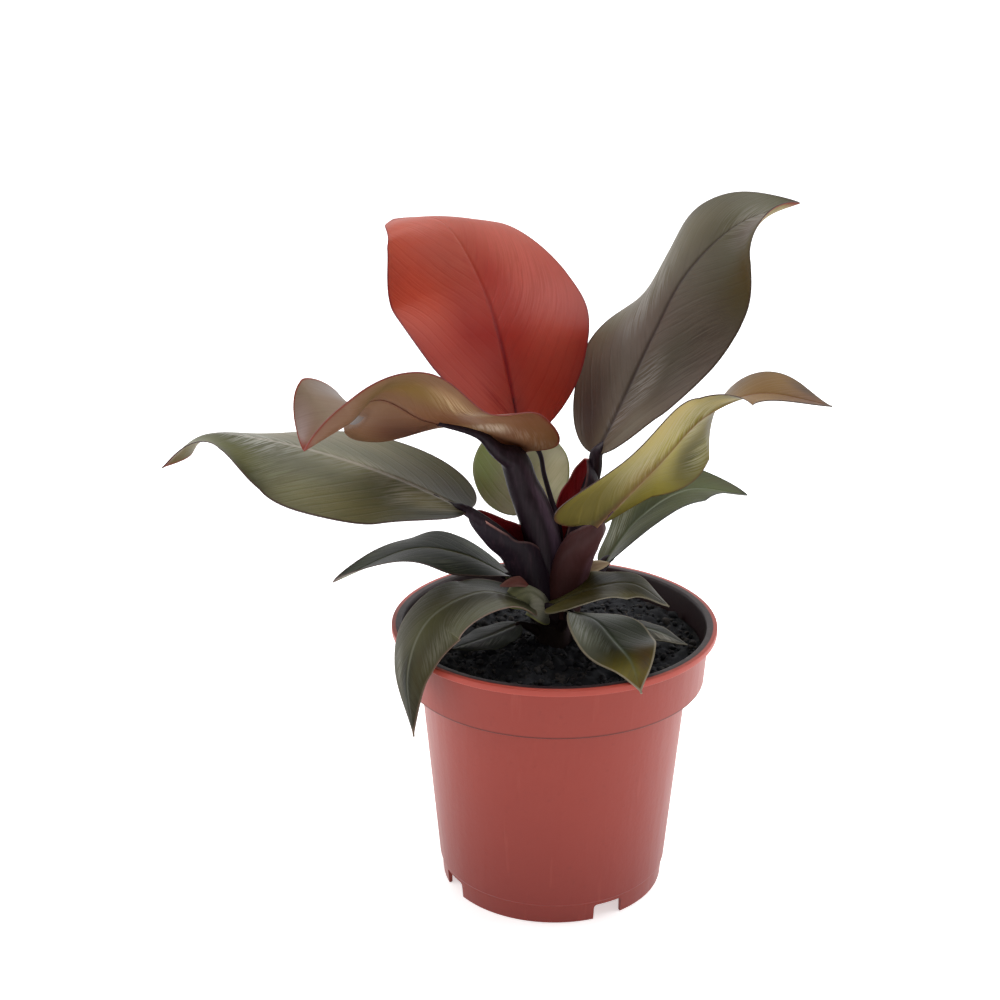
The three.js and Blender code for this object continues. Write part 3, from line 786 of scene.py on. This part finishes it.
# a petiole follows the solid's, slimmer and with finer bends; warm ones are redder
petioles = {
    "leaf_red": {
        "path": [[-1, 6, 110], [1, 4, 126], [0.7, 4, 141], [-1.4, 6, 148], [-4, 8, 157], [-6, 9, 165.5],
                 [-13, 9.5, 173]],
        "radii": [5, 3, 1.3, 1, 0.9, 0.9, 1.4],
    },
    "leaf_bronze": {
        "path": [[-2, -1, 108], [-3.5, -2, 124], [-5, -2, 137], [-9, -2, 149], [-12, -2, 156.5],
                 [-15, -4.5, 166.5], [-20.5, -8, 171]],
        "radii": [7, 7, 6.6, 6.3, 5.7, 5, 3], "under": 0.34,
    },
    "leaf_long": {
        "path": [[-2, -3, 110], [-9, -6, 124], [-18, -10, 138], [-31, -14, 150.5]],
        "radii": [6, 4.2, 3, 2],
    },
    "leaf_tall": {
        "path": [[3, 2, 110], [8, 6, 132], [12, 9, 149], [14.5, 10, 158], [15, 10, 164]],
        "radii": [6.5, 4.6, 3, 2.5, 2.4],
    },
    "leaf_gold": {
        "path": [[2, -4, 109], [6.5, -9, 131], [10.5, -14, 139.5], [14.5, -18, 145.5], [15, -19.5, 149]],
        "radii": [7, 6.8, 5.2, 2.8, 1.6], "under": 0.12, "warm": 1,
    },
    "leaf_back": {"path": [[-2, 5, 110], [-8, 10, 126], [-11, 14, 139]], "radii": [5, 3.6, 2.2]},
    "leaf_right": {"path": [[3, 3, 106], [12, 8, 113], [19, 12, 121]], "radii": [4, 3, 2]},
    "leaf_left": {"path": [[-2, 3, 104], [-9, 8, 110], [-16, 12, 115]], "radii": [4, 3, 1.8]},
    "leaf_droop": {"path": [[-1, -3, 106], [-5, -8, 111], [-9, -12, 115]], "radii": [4, 3, 1.8]},
    "leaf_front": {"path": [[0, -3, 105], [-1, -9, 109], [-3, -14, 114]], "radii": [4, 3, 1.6]},
    "leaf_lip": {"path": [[1, -3, 101], [3, -7, 106], [5, -11, 111]], "radii": [3.5, 2.4, 1.6]},
    "leaf_sliver": {"path": [[3, 0, 97], [10, -1, 99], [17, -2, 101]], "radii": [2.6, 1.8, 1]},
    "leaf_low": {"path": [[-3, -1, 97], [-8, -3, 101], [-13, -6, 104]], "radii": [2.6, 1.8, 1]},
}

# A sheath is a thin open channel round its petiole. mouth is the angle that its open side
# looks to, counted from +X towards -Y; wrap is half of how far round it reaches.
sheaths = {
    "leaf_long": {
        "path": [[-2, -3, 108], [-12.3, -5, 131.5], [-20.7, -9, 140], [-27.8, -12, 147.3],
                 [-29.5, -13, 150.5]],
        "radii": [7.2, 6.8, 5.4, 3, 0.8], "wrap": [175, 152, 137, 130, 125], "mouth": -8,
    },
    "leaf_tall": {
        "path": [[3, 2, 112], [7, 5, 143], [10.2, 8, 152], [10.9, 9, 157.5], [11.2, 9, 162.5]],
        "radii": [7, 6.2, 5.2, 3.9, 0.7], "wrap": [170, 140, 130, 125, 120], "mouth": 140,
    },
}


def alongPath(path, t):
    # point, direction, right and ahead of a bar there
    along = heading(path, t)
    right = (Vector((1, 0, 0)) - along * along.x).normalized()
    return onCurve(path, t), along, right, right.cross(along)


def addBar(mesh, path, radii, sides, steps, warm=0):
    # a round bar, not quite even, with its two ends closed; bar and warm are for its paint
    bar, tint = mesh.verts.layers.float_vector["bar"], mesh.verts.layers.float["warm"]
    old = len(mesh.verts)
    made = bmesh.ops.create_cone(
        mesh, cap_ends=True, segments=sides, radius1=1, radius2=1, depth=1)["verts"]
    upright = {e for v in made for e in v.link_edges if abs(e.verts[0].co.z - e.verts[1].co.z) > 0.5}
    bmesh.ops.subdivide_edges(mesh, edges=list(upright), cuts=steps - 1)
    sizes = [Vector((radius * mm, 0, 0)) for radius in radii]
    for vertex in list(mesh.verts)[old:]:
        t = min(max(vertex.co.z + 0.5, 0), 1)
        centre, along, right, ahead = alongPath(path, t)
        radius = onCurve(sizes, t).x
        turn = math.atan2(vertex.co.y, vertex.co.x)
        uneven = 1 + 0.03 * math.sin(3 * turn + 5 * t) + 0.02 * math.sin(7 * turn - 9 * t)
        vertex[bar] = Vector((t, turn / math.pi, radius * 100))
        vertex[tint] = warm
        vertex.co = centre + (right * vertex.co.x + ahead * vertex.co.y) * radius * uneven


def stemSkin():
    s = Shade("petioles")
    along, turn, radius = s.split("bar")
    where = s.place()
    cloud = s.noise(where, 60, 3)
    streak = s.grain(where, 0.08, 900)
    colour = s.mix(cloud, rgb(22, 13, 19), rgb(40, 26, 35))
    colour = s.mix((streak - 0.45).clamp() * 1.1, colour, rgb(62, 44, 55))
    # a painted highlight band down one side of the thicker petioles
    paintedSheen = s.step(abs(turn - 0.24), 0.15, 0.02) * s.step(radius, 0.45, 0.62)
    colour = s.mix(paintedSheen * (0.2 + streak * 0.5), colour, rgb(92, 74, 90))
    colour = s.mix(s.value("warm") * 0.5, colour, rgb(84, 46, 40))
    low = s.step(s.axes(where)[2], 0.118, 0.098)    # earthy near the soil
    colour = s.mix(low * 0.6, colour, rgb(56, 46, 36))
    roughness = 0.42 + cloud * 0.12
    normal = s.bump(streak * 0.4 + cloud, 0.0005, 0.6)
    return s.surface(colour, roughness, normal, Specular_IOR_Level=0.16)


def makePetioles():
    mesh = bmesh.new()
    mesh.verts.layers.float_vector.new("bar")
    mesh.verts.layers.float.new("warm")
    bottom, top = stemSize["bottom"], stemSize["top"]
    core = vectors([[0, 0, bottom], [0, 0, (bottom + top) / 2], [0, 0, top]])
    addBar(mesh, core, [stemSize["radius"]] * 3, stemSize["sides"], stemSize["steps"])
    for name, petiole in petioles.items():
        path, radii = vectors(petiole["path"]), list(petiole["radii"])
        end = petiole.get("under", stemSize["under"])
        for u in (end / 2, end):
            centre, along, side, face = bladeFrame(leaves[name], u)[:4]
            radii.append(radii[-1] * stemSize["taper"])
            path.append(centre - face * radii[-1] * mm)
        sides, steps = stemSize["petioleSides"], stemSize["petioleSteps"]
        addBar(mesh, path, radii, sides, steps, petiole.get("warm", 0))
    return finishPiece(mesh, "petioles", [stemSkin()], "stem", 50)


def sheathSkin():
    s = Shade("sheaths")
    along, across, edge = s.split("sheath")
    where = s.place()
    cloud = s.noise(where, 90, 3)
    streak = s.grain(where, 0.1, 900)
    red = s.mix(cloud, rgb(124, 20, 26), rgb(170, 44, 46))
    dark = s.mix(cloud, rgb(22, 16, 22), rgb(42, 31, 41))
    inside = s.value("inside")
    colour = s.mix(inside, dark, red)
    line = s.mix(inside, rgb(84, 56, 64), rgb(150, 60, 60))
    colour = s.mix((streak - 0.5).clamp() * 1.2, colour, line)
    far = 0.12 + 0.88 * s.step(along, 0.45, 0.8) * s.step(across, 0.6, -0.6)
    pale = s.mix(streak, rgb(150, 84, 80), rgb(222, 176, 162))
    colour = s.mix(s.step(edge, 0.09, 0.02) * far, colour, pale)
    normal = s.bump(streak, 0.0004, 0.6)
    return s.surface(
        colour, 0.38 + cloud * 0.1, normal, (0.04, rgb(170, 50, 60)), Specular_IOR_Level=0.14)


def makeSheaths():
    # the margins flare out a little and thin away
    mesh = bmesh.new()
    layer = mesh.verts.layers.float_vector.new("sheath")
    inside = mesh.verts.layers.float.new("inside")
    for name, sheath in sheaths.items():
        path = vectors(sheath["path"])
        rows = [Vector((*row, 0)) for row in zip(sheath["radii"], sheath["wrap"])]
        old = set(mesh.verts)
        bmesh.ops.create_grid(mesh, x_segments=48, y_segments=44, size=0.5)
        faces = [face for face in mesh.faces if face.verts[0] not in old]
        bmesh.ops.solidify(mesh, geom=faces, thickness=0.1)
        fresh = [vertex for vertex in mesh.verts if vertex not in old]
        middle = sum(vertex.co.z for vertex in fresh) / len(fresh)
        for vertex in fresh:
            t, v = min(max(vertex.co.x + 0.5, 0), 1), vertex.co.y * 2
            inner = vertex.co.z > middle
            radius, wrap = onCurve(rows, t).xy
            centre, along, right, ahead = alongPath(path, t)
            turn = math.radians(sheath["mouth"] + 180 + v * wrap)
            flare = 1 + 0.12 * abs(v) ** 3 + 0.03 * math.sin(9 * t + 2 * v)
            thick = (0.45 - 0.25 * abs(v) ** 2) * (1 if inner else -1)
            reach = (radius * flare - thick) * mm
            edge = min((1 - abs(v)) * radius * math.radians(wrap), (1 - t) * 30)
            vertex[layer] = Vector((t, v, edge / 10))
            vertex[inside] = 1 if inner else 0
            vertex.co = centre + (right * math.cos(turn) + ahead * math.sin(turn)) * reach
    bmesh.ops.recalc_face_normals(mesh, faces=mesh.faces)
    return finishPiece(mesh, "sheaths", [sheathSkin()], None, 60)


# small cupped scales at the foot of the petioles, sunk in the stem; read as leaves is
plainBract = {"full": 2, "tip": 0.8, "fold": 0, "lobe": [0, 0], "wave": 0.1, "grid": (30, 16)}
bracts = {
    "bract_curl": {
        "midrib": [[-1.5, -8, 107], [-3, -13, 114.5], [-9.5, -13.5, 119.5], [-19, -15.5, 115.5]],
        "width": 17, "grid": (40, 24),
        "twist": [[-20, -40, -40], [-48, -50, -50], [-50, -50, -50]],
        "top": {
            "tone": [(0, (96, 92, 78)), (0.5, (132, 130, 114)), (1, (112, 116, 62))],
            "vein": (70, 72, 56), "rib": (96, 96, 72), "shade": (62, 64, 50), "edge": (140, 140, 84),
            "glow": (140, 150, 60), "through": 0.03,
        },
    },
    "bract_left": {
        "midrib": [[-6, -9, 119.5], [-13, -12.5, 123.5], [-20, -13.5, 122]],
        "width": 4, "twist": [[-55, -30, -30], [-50, -30, -30]],
        "top": {
            "tone": [(0, (84, 48, 44)), (1, (134, 84, 76))],
            "vein": (110, 60, 50), "rib": (120, 66, 56), "shade": (104, 60, 50), "edge": (140, 96, 86),
            "glow": (200, 90, 60), "through": 0.03,
        },
    },
    "bract_right": {
        "midrib": [[7, -2, 120], [13, -1.5, 124.5], [20, 0, 125.5]],
        "width": 5, "twist": [[45, -30, -30], [35, -30, -30]],
        "top": {
            "tone": [(0, (110, 88, 66)), (1, (176, 152, 122))],
            "vein": (120, 96, 72), "rib": (130, 104, 80), "shade": (110, 88, 66),
            "edge": (180, 160, 130), "glow": (190, 150, 90),
        },
    },
}

makePetioles()
makeSheaths()
for name, bract in bracts.items():
    bract = {**plainBract, **bract, "under": bract["top"]}
    makeBlade(name, bract, leafSkins(name, bract))
print("petioles, sheaths and bracts made")


potSize = {
    "height": 103, "lipRadius": 60, "lipThickness": 2.8, "bandTopRadius": 57,
    "bandBottomRadius": 55.7, "bandBottom": 82.4, "wallTopRadius": 49.7, "footRadius": 42.3,
    "footBand": 7.6, "footStep": 0.5, "wall": 1.3, "floor": 6.6, "padRadius": 24,
    "padSlope": 3, "lipUnder": 0.4, "sill": 0.7, "sillDrop": 1.1,
    "steps": 220, "edge": 0.35, "roundFrom": 28, "crispFrom": 30,    # edge in mm, bends in degrees
    "notches": 4, "notchWidth": 11.6, "notchHeight": 6.2, "notchAngle": -62, "notchDepth": 16,
    "notchRound": 1.2, "holes": 8, "holeRadius": 1.9, "holeRing": 33, "holeDepth": 5,
}

# where the pot's colour changes, each from where a change starts to where it is whole
potPaint = {
    "foot": (70, 0),                # heights from here
    # the lip's change is a painted highlight; the lines below the lip and the ledge are painted shadows
    "lipHighlight": (100, 100.5), "lipShadowAbove": (100.5, 100), "lipShadowBelow": (99.2, 100),
    "ledgeShadowAbove": (83.4, 82.6), "ledgeShadowBelow": (81.8, 82.4),
    # inner, sill and the inner wall mark where the inside is painted dark as shade
    "inner": (80, 84), "sill": (102, 102.5),
    "outside": (56.5, 57),          # radii from here
    "lipShadowOut": (56.5, 56.8), "ledgeShadowOut": (54.5, 55.2), "sillShadeIn": (58.8, 58.2),
    "innerWallShade": (49.3, 48.8),      # a radius that slope carries up from the ground
    "slope": 0.073,                 # how much the inner wall widens with its height
}


def wallRadius(height):
    share = height / potSize["bandBottom"]
    return potSize["footRadius"] + (potSize["wallTopRadius"] - potSize["footRadius"]) * share


def spinProfile(mesh, profile, steps):
    # a closed form of revolution from radii and heights in millimetres
    points = [mesh.verts.new(Vector((radius, 0, height)) * mm) for radius, height in profile]
    edges = [mesh.edges.new(pair) for pair in zip(points, points[1:])]
    bmesh.ops.spin(
        mesh, geom=points + edges, cent=(0, 0, 0), axis=(0, 0, 1),
        angle=math.tau, steps=steps, use_merge=True)
    bmesh.ops.remove_doubles(mesh, verts=mesh.verts[:], dist=1e-6)
    bmesh.ops.recalc_face_normals(mesh, faces=mesh.faces)


def cutAway(piece, cutters):
    # takes the cutters out of the piece for good
    shape = bpy.data.meshes.new("cutters")
    cutters.to_mesh(shape)
    cutters.free()
    tool = bpy.data.objects.new("cutters", shape)
    bpy.context.scene.collection.objects.link(tool)
    cut = piece.modifiers.new("cut", "BOOLEAN")
    cut.operation, cut.solver, cut.object = "DIFFERENCE", "EXACT", tool
    finished = piece.evaluated_get(bpy.context.evaluated_depsgraph_get())
    result = bpy.data.meshes.new_from_object(finished)
    piece.modifiers.clear()
    piece.data = result
    bpy.data.objects.remove(tool)


def potSkin():
    s = Shade("pot")
    where = s.place()
    cloud = s.noise(where, 14, 3)
    speck = s.noise(where, 420, 3, 0.6)
    drag = s.grain(where, 0.05, 260)
    x, y, height = s.axes(where)
    radius = (x * x + y * y) ** 0.5

    def beyond(value, key):
        # 0 before a change starts, 1 where it is whole
        start, end = potPaint[key]
        return s.step(value, start * mm, end * mm)

    colour = s.mix(cloud, rgb(134, 48, 38), rgb(150, 58, 46))
    colour = s.mix(beyond(height, "foot") * 0.6, colour, rgb(118, 40, 34))
    colour = s.mix((speck - 0.6).clamp() * 1.2, colour, rgb(104, 40, 34))
    colour = s.mix((drag - 0.62).clamp() * 1.2, colour, rgb(178, 92, 80))
    # the top of the lip painted lighter, a painted highlight
    lipHighlight = beyond(height, "lipHighlight") * beyond(radius, "outside")
    colour = s.mix(lipHighlight * 0.7, colour, rgb(176, 74, 62))
    # painted shadows: dark lines under the lip and under the ledge where the band steps in
    lipShadow = beyond(height, "lipShadowBelow") * beyond(height, "lipShadowAbove")
    ledgeShadow = beyond(height, "ledgeShadowAbove") * beyond(height, "ledgeShadowBelow")
    stepShadows = lipShadow * beyond(radius, "lipShadowOut") + ledgeShadow * beyond(radius, "ledgeShadowOut")
    colour = s.mix(stepShadows * 0.8, colour, rgb(52, 20, 18))
    # painted shade: the inner wall and the inner part of the sill are painted dark, as the inside lies in
    # shade
    wall = beyond(radius - height * potPaint["slope"], "innerWallShade") * beyond(height, "inner")
    sill = beyond(radius, "sillShadeIn") * beyond(height, "sill")
    shade = s.mix(cloud, rgb(34, 18, 21), rgb(48, 28, 32))
    colour = s.mix((wall + sill).clamp(), colour, shade)
    roughness = (0.42 + (cloud - 0.5) * 0.15 + (drag - 0.5) * 0.15).clamp()
    normal = s.bump(speck * 0.5 + drag * 0.5, 0.00025, 0.5)
    return s.surface(colour, roughness, normal, Specular_IOR_Level=0.25)


def makePot():
    p = potSize
    lipBottom = p["height"] - p["lipThickness"]
    floorTop = p["floor"] + p["wall"]
    foot = p["footRadius"] - p["footStep"]
    ramp = p["padRadius"] + p["padSlope"]
    profile = [
        (0, 0), (p["padRadius"], 0), (ramp, p["floor"]), (foot - p["wall"], p["floor"]),
        (foot - p["wall"], 0), (foot, 0),
        (wallRadius(p["footBand"]) - p["footStep"], p["footBand"]),
        (wallRadius(p["footBand"] + p["footStep"]), p["footBand"] + p["footStep"]),
        (p["wallTopRadius"], p["bandBottom"]), (p["bandBottomRadius"], p["bandBottom"]),
        (p["bandTopRadius"], lipBottom), (p["lipRadius"], lipBottom + p["lipUnder"]),
        (p["lipRadius"], p["height"]), (p["bandTopRadius"] - p["sill"], p["height"]),
        (p["bandTopRadius"] - p["wall"], p["height"] - p["sillDrop"]),
        (p["bandBottomRadius"] - p["wall"], p["bandBottom"] + p["wall"]),
        (p["wallTopRadius"] - p["wall"], p["bandBottom"] + p["wall"]),
        (wallRadius(floorTop) - p["wall"], floorTop), (ramp - p["wall"], floorTop),
        (p["padRadius"] - p["wall"], p["wall"]), (0, p["wall"]),
    ]
    mesh = bmesh.new()
    spinProfile(mesh, profile, p["steps"])
    bend = math.radians(p["roundFrom"])
    off = [e for e in mesh.edges if e.verts[0].co.xy.length > 1 * mm]    # none that meets the axis
    corners = [e for e in off if e.calc_face_angle(0) > bend]
    bmesh.ops.bevel(
        mesh, geom=corners, offset=p["edge"] * mm, offset_type="OFFSET", affect="EDGES",
        segments=3, profile=0.5, material=-1, clamp_overlap=True)
    piece = finishPiece(mesh, "pot_shell", [potSkin()], "pot")
    cutters = bmesh.new()
    for i in range(p["notches"]):
        turn = Matrix.Rotation(math.radians(p["notchAngle"] + 360 / p["notches"] * i), 4, "Z")
        move = Matrix.Translation(Vector((p["footRadius"], 0, 0)) * mm)
        reach = Vector((p["notchDepth"], p["notchWidth"], 2 * p["notchHeight"])) * mm
        block = turn @ move @ Matrix.Diagonal((*reach, 1))
        bmesh.ops.create_cube(cutters, size=1, matrix=block)
    level = [e for e in cutters.edges if abs(e.verts[0].co.z - e.verts[1].co.z) < 1e-6]
    upper = [e for e in level if e.verts[0].co.z > 0]
    bmesh.ops.bevel(
        cutters, geom=upper, offset=p["notchRound"] * mm, offset_type="OFFSET", affect="EDGES",
        segments=3, profile=0.5, material=-1)
    for i in range(p["holes"]):
        turn = Matrix.Rotation(math.tau * (i + 0.5) / p["holes"], 4, "Z")
        place = turn @ Matrix.Translation(Vector((p["holeRing"], 0, p["floor"])) * mm)
        bmesh.ops.create_cone(
            cutters, cap_ends=True, segments=24, radius1=p["holeRadius"] * mm,
            radius2=p["holeRadius"] * mm, depth=p["holeDepth"] * mm, matrix=place)
    cutAway(piece, cutters)
    trim = bmesh.new()
    trim.from_mesh(piece.data)
    for face in trim.faces:
        face.smooth = True
    for edge in trim.edges:
        edge.smooth = edge.calc_face_angle(0) < math.radians(p["crispFrom"])
    trim.to_mesh(piece.data)
    trim.free()
    return piece


makePot()
print("pot made")


soilSize = {
    "top": 93.4, "mound": 2.2, "lump": 0.8, "rough": 1.1, "sink": 0.3,
    "gap": 0.35,           # mm, all round to the pot
    "rimGap": 0.7,         # mm more than that under the pot's sill
    "solidGap": 1.35,      # mm, the solid's own gap there
    "hole": 7.3, "holeFloor": 84,    # radius and floor of the hole that the stem stands in
    "flat": 92,            # height of the top before it is shaped
    "rings": 70, "steps": 200, "seed": 7,
    "crumbs": 1100, "chips": 40, "fibres": 30,
    "crumbSizes": (0.5, 0.7, 0.9, 1.3),
    "strewn": (0.03, 0.93),    # shares of the top's area that they lie between
}


def soilHeight(x, y):
    # the top's height in millimetres, with the solid's mound and lumps
    radius = math.hypot(x, y)
    rim = potSize["bandTopRadius"] - potSize["wall"] - soilSize["solidGap"]
    share = min(max((rim - radius) / (rim - soilSize["hole"]), 0), 1)
    loose = smoothStep((rim - radius) / 3)
    lump = soilSize["lump"] * (math.sin(0.31 * x + 1.3) * math.sin(0.27 * y + 0.4)
                               + 0.6 * math.sin(0.63 * x - 0.41 * y)
                               + 0.4 * math.sin(0.9 * y + 0.5 * x + 2))
    return soilSize["top"] + soilSize["mound"] * math.sin(share * math.pi / 2) + lump * loose


def soilSkin():
    s = Shade("soil")
    where = s.place()
    coarse = s.noise(where, 180, 5, 0.7)
    fine = s.noise(where, 900, 4, 0.7)
    shade = s.value("shade")
    colour = s.ramp((coarse * 0.7 + fine * 0.3).clamp(), [
        (0.3, rgb(26, 27, 31)), (0.5, rgb(36, 37, 42)), (0.65, rgb(42, 42, 47)), (0.85, rgb(56, 54, 56))])
    colour = s.mix(shade, colour, rgb(88, 78, 70))
    normal = s.bump(coarse * 0.6 + fine * 0.4, 0.0008, 0.6)
    return s.surface(colour, 0.75 + fine * 0.2, normal, Specular_IOR_Level=0.3)


def makeSoil():
    # a spun plug with a shaped top, then crumbs, chips and fibres strewn over it
    p, q = potSize, soilSize
    inset = p["wall"] + q["gap"]
    rim = p["bandTopRadius"] - inset - q["rimGap"]
    bandRim = p["bandBottomRadius"] - inset - q["rimGap"]
    floorTop = p["floor"] + inset
    profile = [
        (0, inset), (p["padRadius"] - inset, inset),
        (p["padRadius"] + p["padSlope"] - inset, floorTop), (wallRadius(floorTop) - inset, floorTop),
        (p["wallTopRadius"] - inset, p["bandBottom"] + inset), (bandRim, p["bandBottom"] + inset),
    ]
    for ring in range(q["rings"] + 1):
        profile.append((rim + (q["hole"] - rim) * ring / q["rings"], q["flat"]))
    profile += [(q["hole"], q["holeFloor"]), (0, q["holeFloor"])]
    mesh = bmesh.new()
    spinProfile(mesh, profile, q["steps"])
    shade = mesh.verts.layers.float.new("shade")
    for vertex in mesh.verts:
        x, y = vertex.co.x / mm, vertex.co.y / mm
        if vertex.co.z > (q["flat"] - 1) * mm:
            rough = q["rough"] * noise.fractal(Vector((x, y, 3)) * 0.35, 0.6, 2.2, 4)
            away = smoothStep((rim - math.hypot(x, y)) / 2)
            vertex.co.z = (soilHeight(x, y) + rough * away - q["sink"]) * mm
    dice = random.Random(q["seed"])
    for i in range(q["crumbs"] + q["chips"] + q["fibres"]):
        turn, out = dice.random() * math.tau, math.sqrt(dice.uniform(*q["strewn"])) * rim
        x, y = out * math.cos(turn), out * math.sin(turn)
        crumb, chip = i < q["crumbs"], i < q["crumbs"] + q["chips"]
        if crumb:
            size = dice.choice(q["crumbSizes"]) * dice.uniform(0.7, 1.3)
            stretch = Vector((dice.uniform(0.8, 1.4), dice.uniform(0.8, 1.3), dice.uniform(0.6, 1))) * size
        elif chip:
            stretch = Vector((dice.uniform(1.5, 3.2), dice.uniform(0.6, 1.1), dice.uniform(0.25, 0.5)))
        else:
            stretch = Vector((dice.uniform(2, 5), 0.16, 0.16))
        spin = Matrix.Rotation(dice.random() * math.tau, 4, "Z")
        tilt = spin @ Matrix.Rotation(dice.gauss(0, 0.3), 4, "Y")
        up = soilHeight(x, y) + 0.25 * stretch.z
        place = Matrix.Translation(Vector((x, y, up)) * mm) @ tilt @ Matrix.Diagonal((*(stretch * mm), 1))
        made = bmesh.ops.create_icosphere(mesh, subdivisions=1, radius=1, matrix=place)["verts"]
        if crumb:
            tone = dice.random() ** 3 * 0.35
        else:
            tone = dice.uniform(0.1, 0.6) if chip else dice.uniform(0.3, 0.9)
        for vertex in made:
            vertex[shade] = tone
            if crumb:
                push = Vector((dice.gauss(0, 1), dice.gauss(0, 1), dice.gauss(0, 1)))
                vertex.co += push * size * 0.12 * mm
    return finishPiece(mesh, "soil_fill", [soilSkin()], "soil", 60)


makeSoil()
print("soil made")


studio = {
    "floor": rgb(250, 250, 250), "floorGlow": 0.55, "floorSize": 15,
    "front": 0.25, "behind": 1.15, "above": 0.2,
    "camera": Vector((-0.020, -0.603, 0.367)), "lens": 64, "pitch": 19.8, "aim": 0.15,
    "lights": [    # name, place, size, power
        ("top", (0.1, 0.25, 1.1), 0.9, 7),
        ("left", (-1.0, 0.1, 0.7), 0.7, 3),
        ("right", (1.0, 0.1, 0.6), 0.7, 3),
    ],
}


def makeStudio():
    mesh = bmesh.new()
    bmesh.ops.create_grid(mesh, x_segments=1, y_segments=1, size=studio["floorSize"])
    data = bpy.data.meshes.new("floor")
    mesh.to_mesh(data)
    mesh.free()
    floor = bpy.data.objects.new("floor", data)
    bpy.context.scene.collection.objects.link(floor)
    s = Shade("floor")
    data.materials.append(s.surface(
        studio["floor"], 0.9, Specular_IOR_Level=0.1,
        Emission_Color=(1, 1, 1, 1), Emission_Strength=studio["floorGlow"]))
    s = Shade("studio", "worlds")
    direction = s.add("ShaderNodeTexCoord", output="Generated")
    x, y, z = s.axes(direction)
    front, behind = studio["front"], studio["behind"]
    strength = s.step(y, -0.7, 0.8) * (behind - front) + front + z * studio["above"]
    seen = s.add("ShaderNodeLightPath", output="Is Camera Ray")
    strength = strength * (1 - seen) + seen    # the backdrop itself is plain white
    sky = s.add("ShaderNodeBackground", {}, {"Color": (1, 1, 1, 1), "Strength": strength})
    bpy.context.scene.world = s.finish(sky, "ShaderNodeOutputWorld")
    for name, place, size, power in studio["lights"]:
        lamp = bpy.data.lights.new(name, "AREA")
        lamp.shape, lamp.size, lamp.energy = "DISK", size, power
        light = bpy.data.objects.new(name, lamp)
        light.location = place
        aim = Vector((0, 0, studio["aim"])) - Vector(place)
        light.rotation_euler = aim.to_track_quat("-Z", "Y").to_euler()
        bpy.context.scene.collection.objects.link(light)
    lens = bpy.data.cameras.new("camera")
    lens.lens, lens.sensor_width = studio["lens"], 36
    camera = bpy.data.objects.new("camera", lens)
    camera.location = studio["camera"]
    camera.rotation_euler = (math.radians(90 - studio["pitch"]), 0, 0)
    bpy.context.scene.collection.objects.link(camera)
    bpy.context.scene.camera = camera
    bpy.context.scene.view_settings.view_transform = "Standard"


makeStudio()
print("studio made")
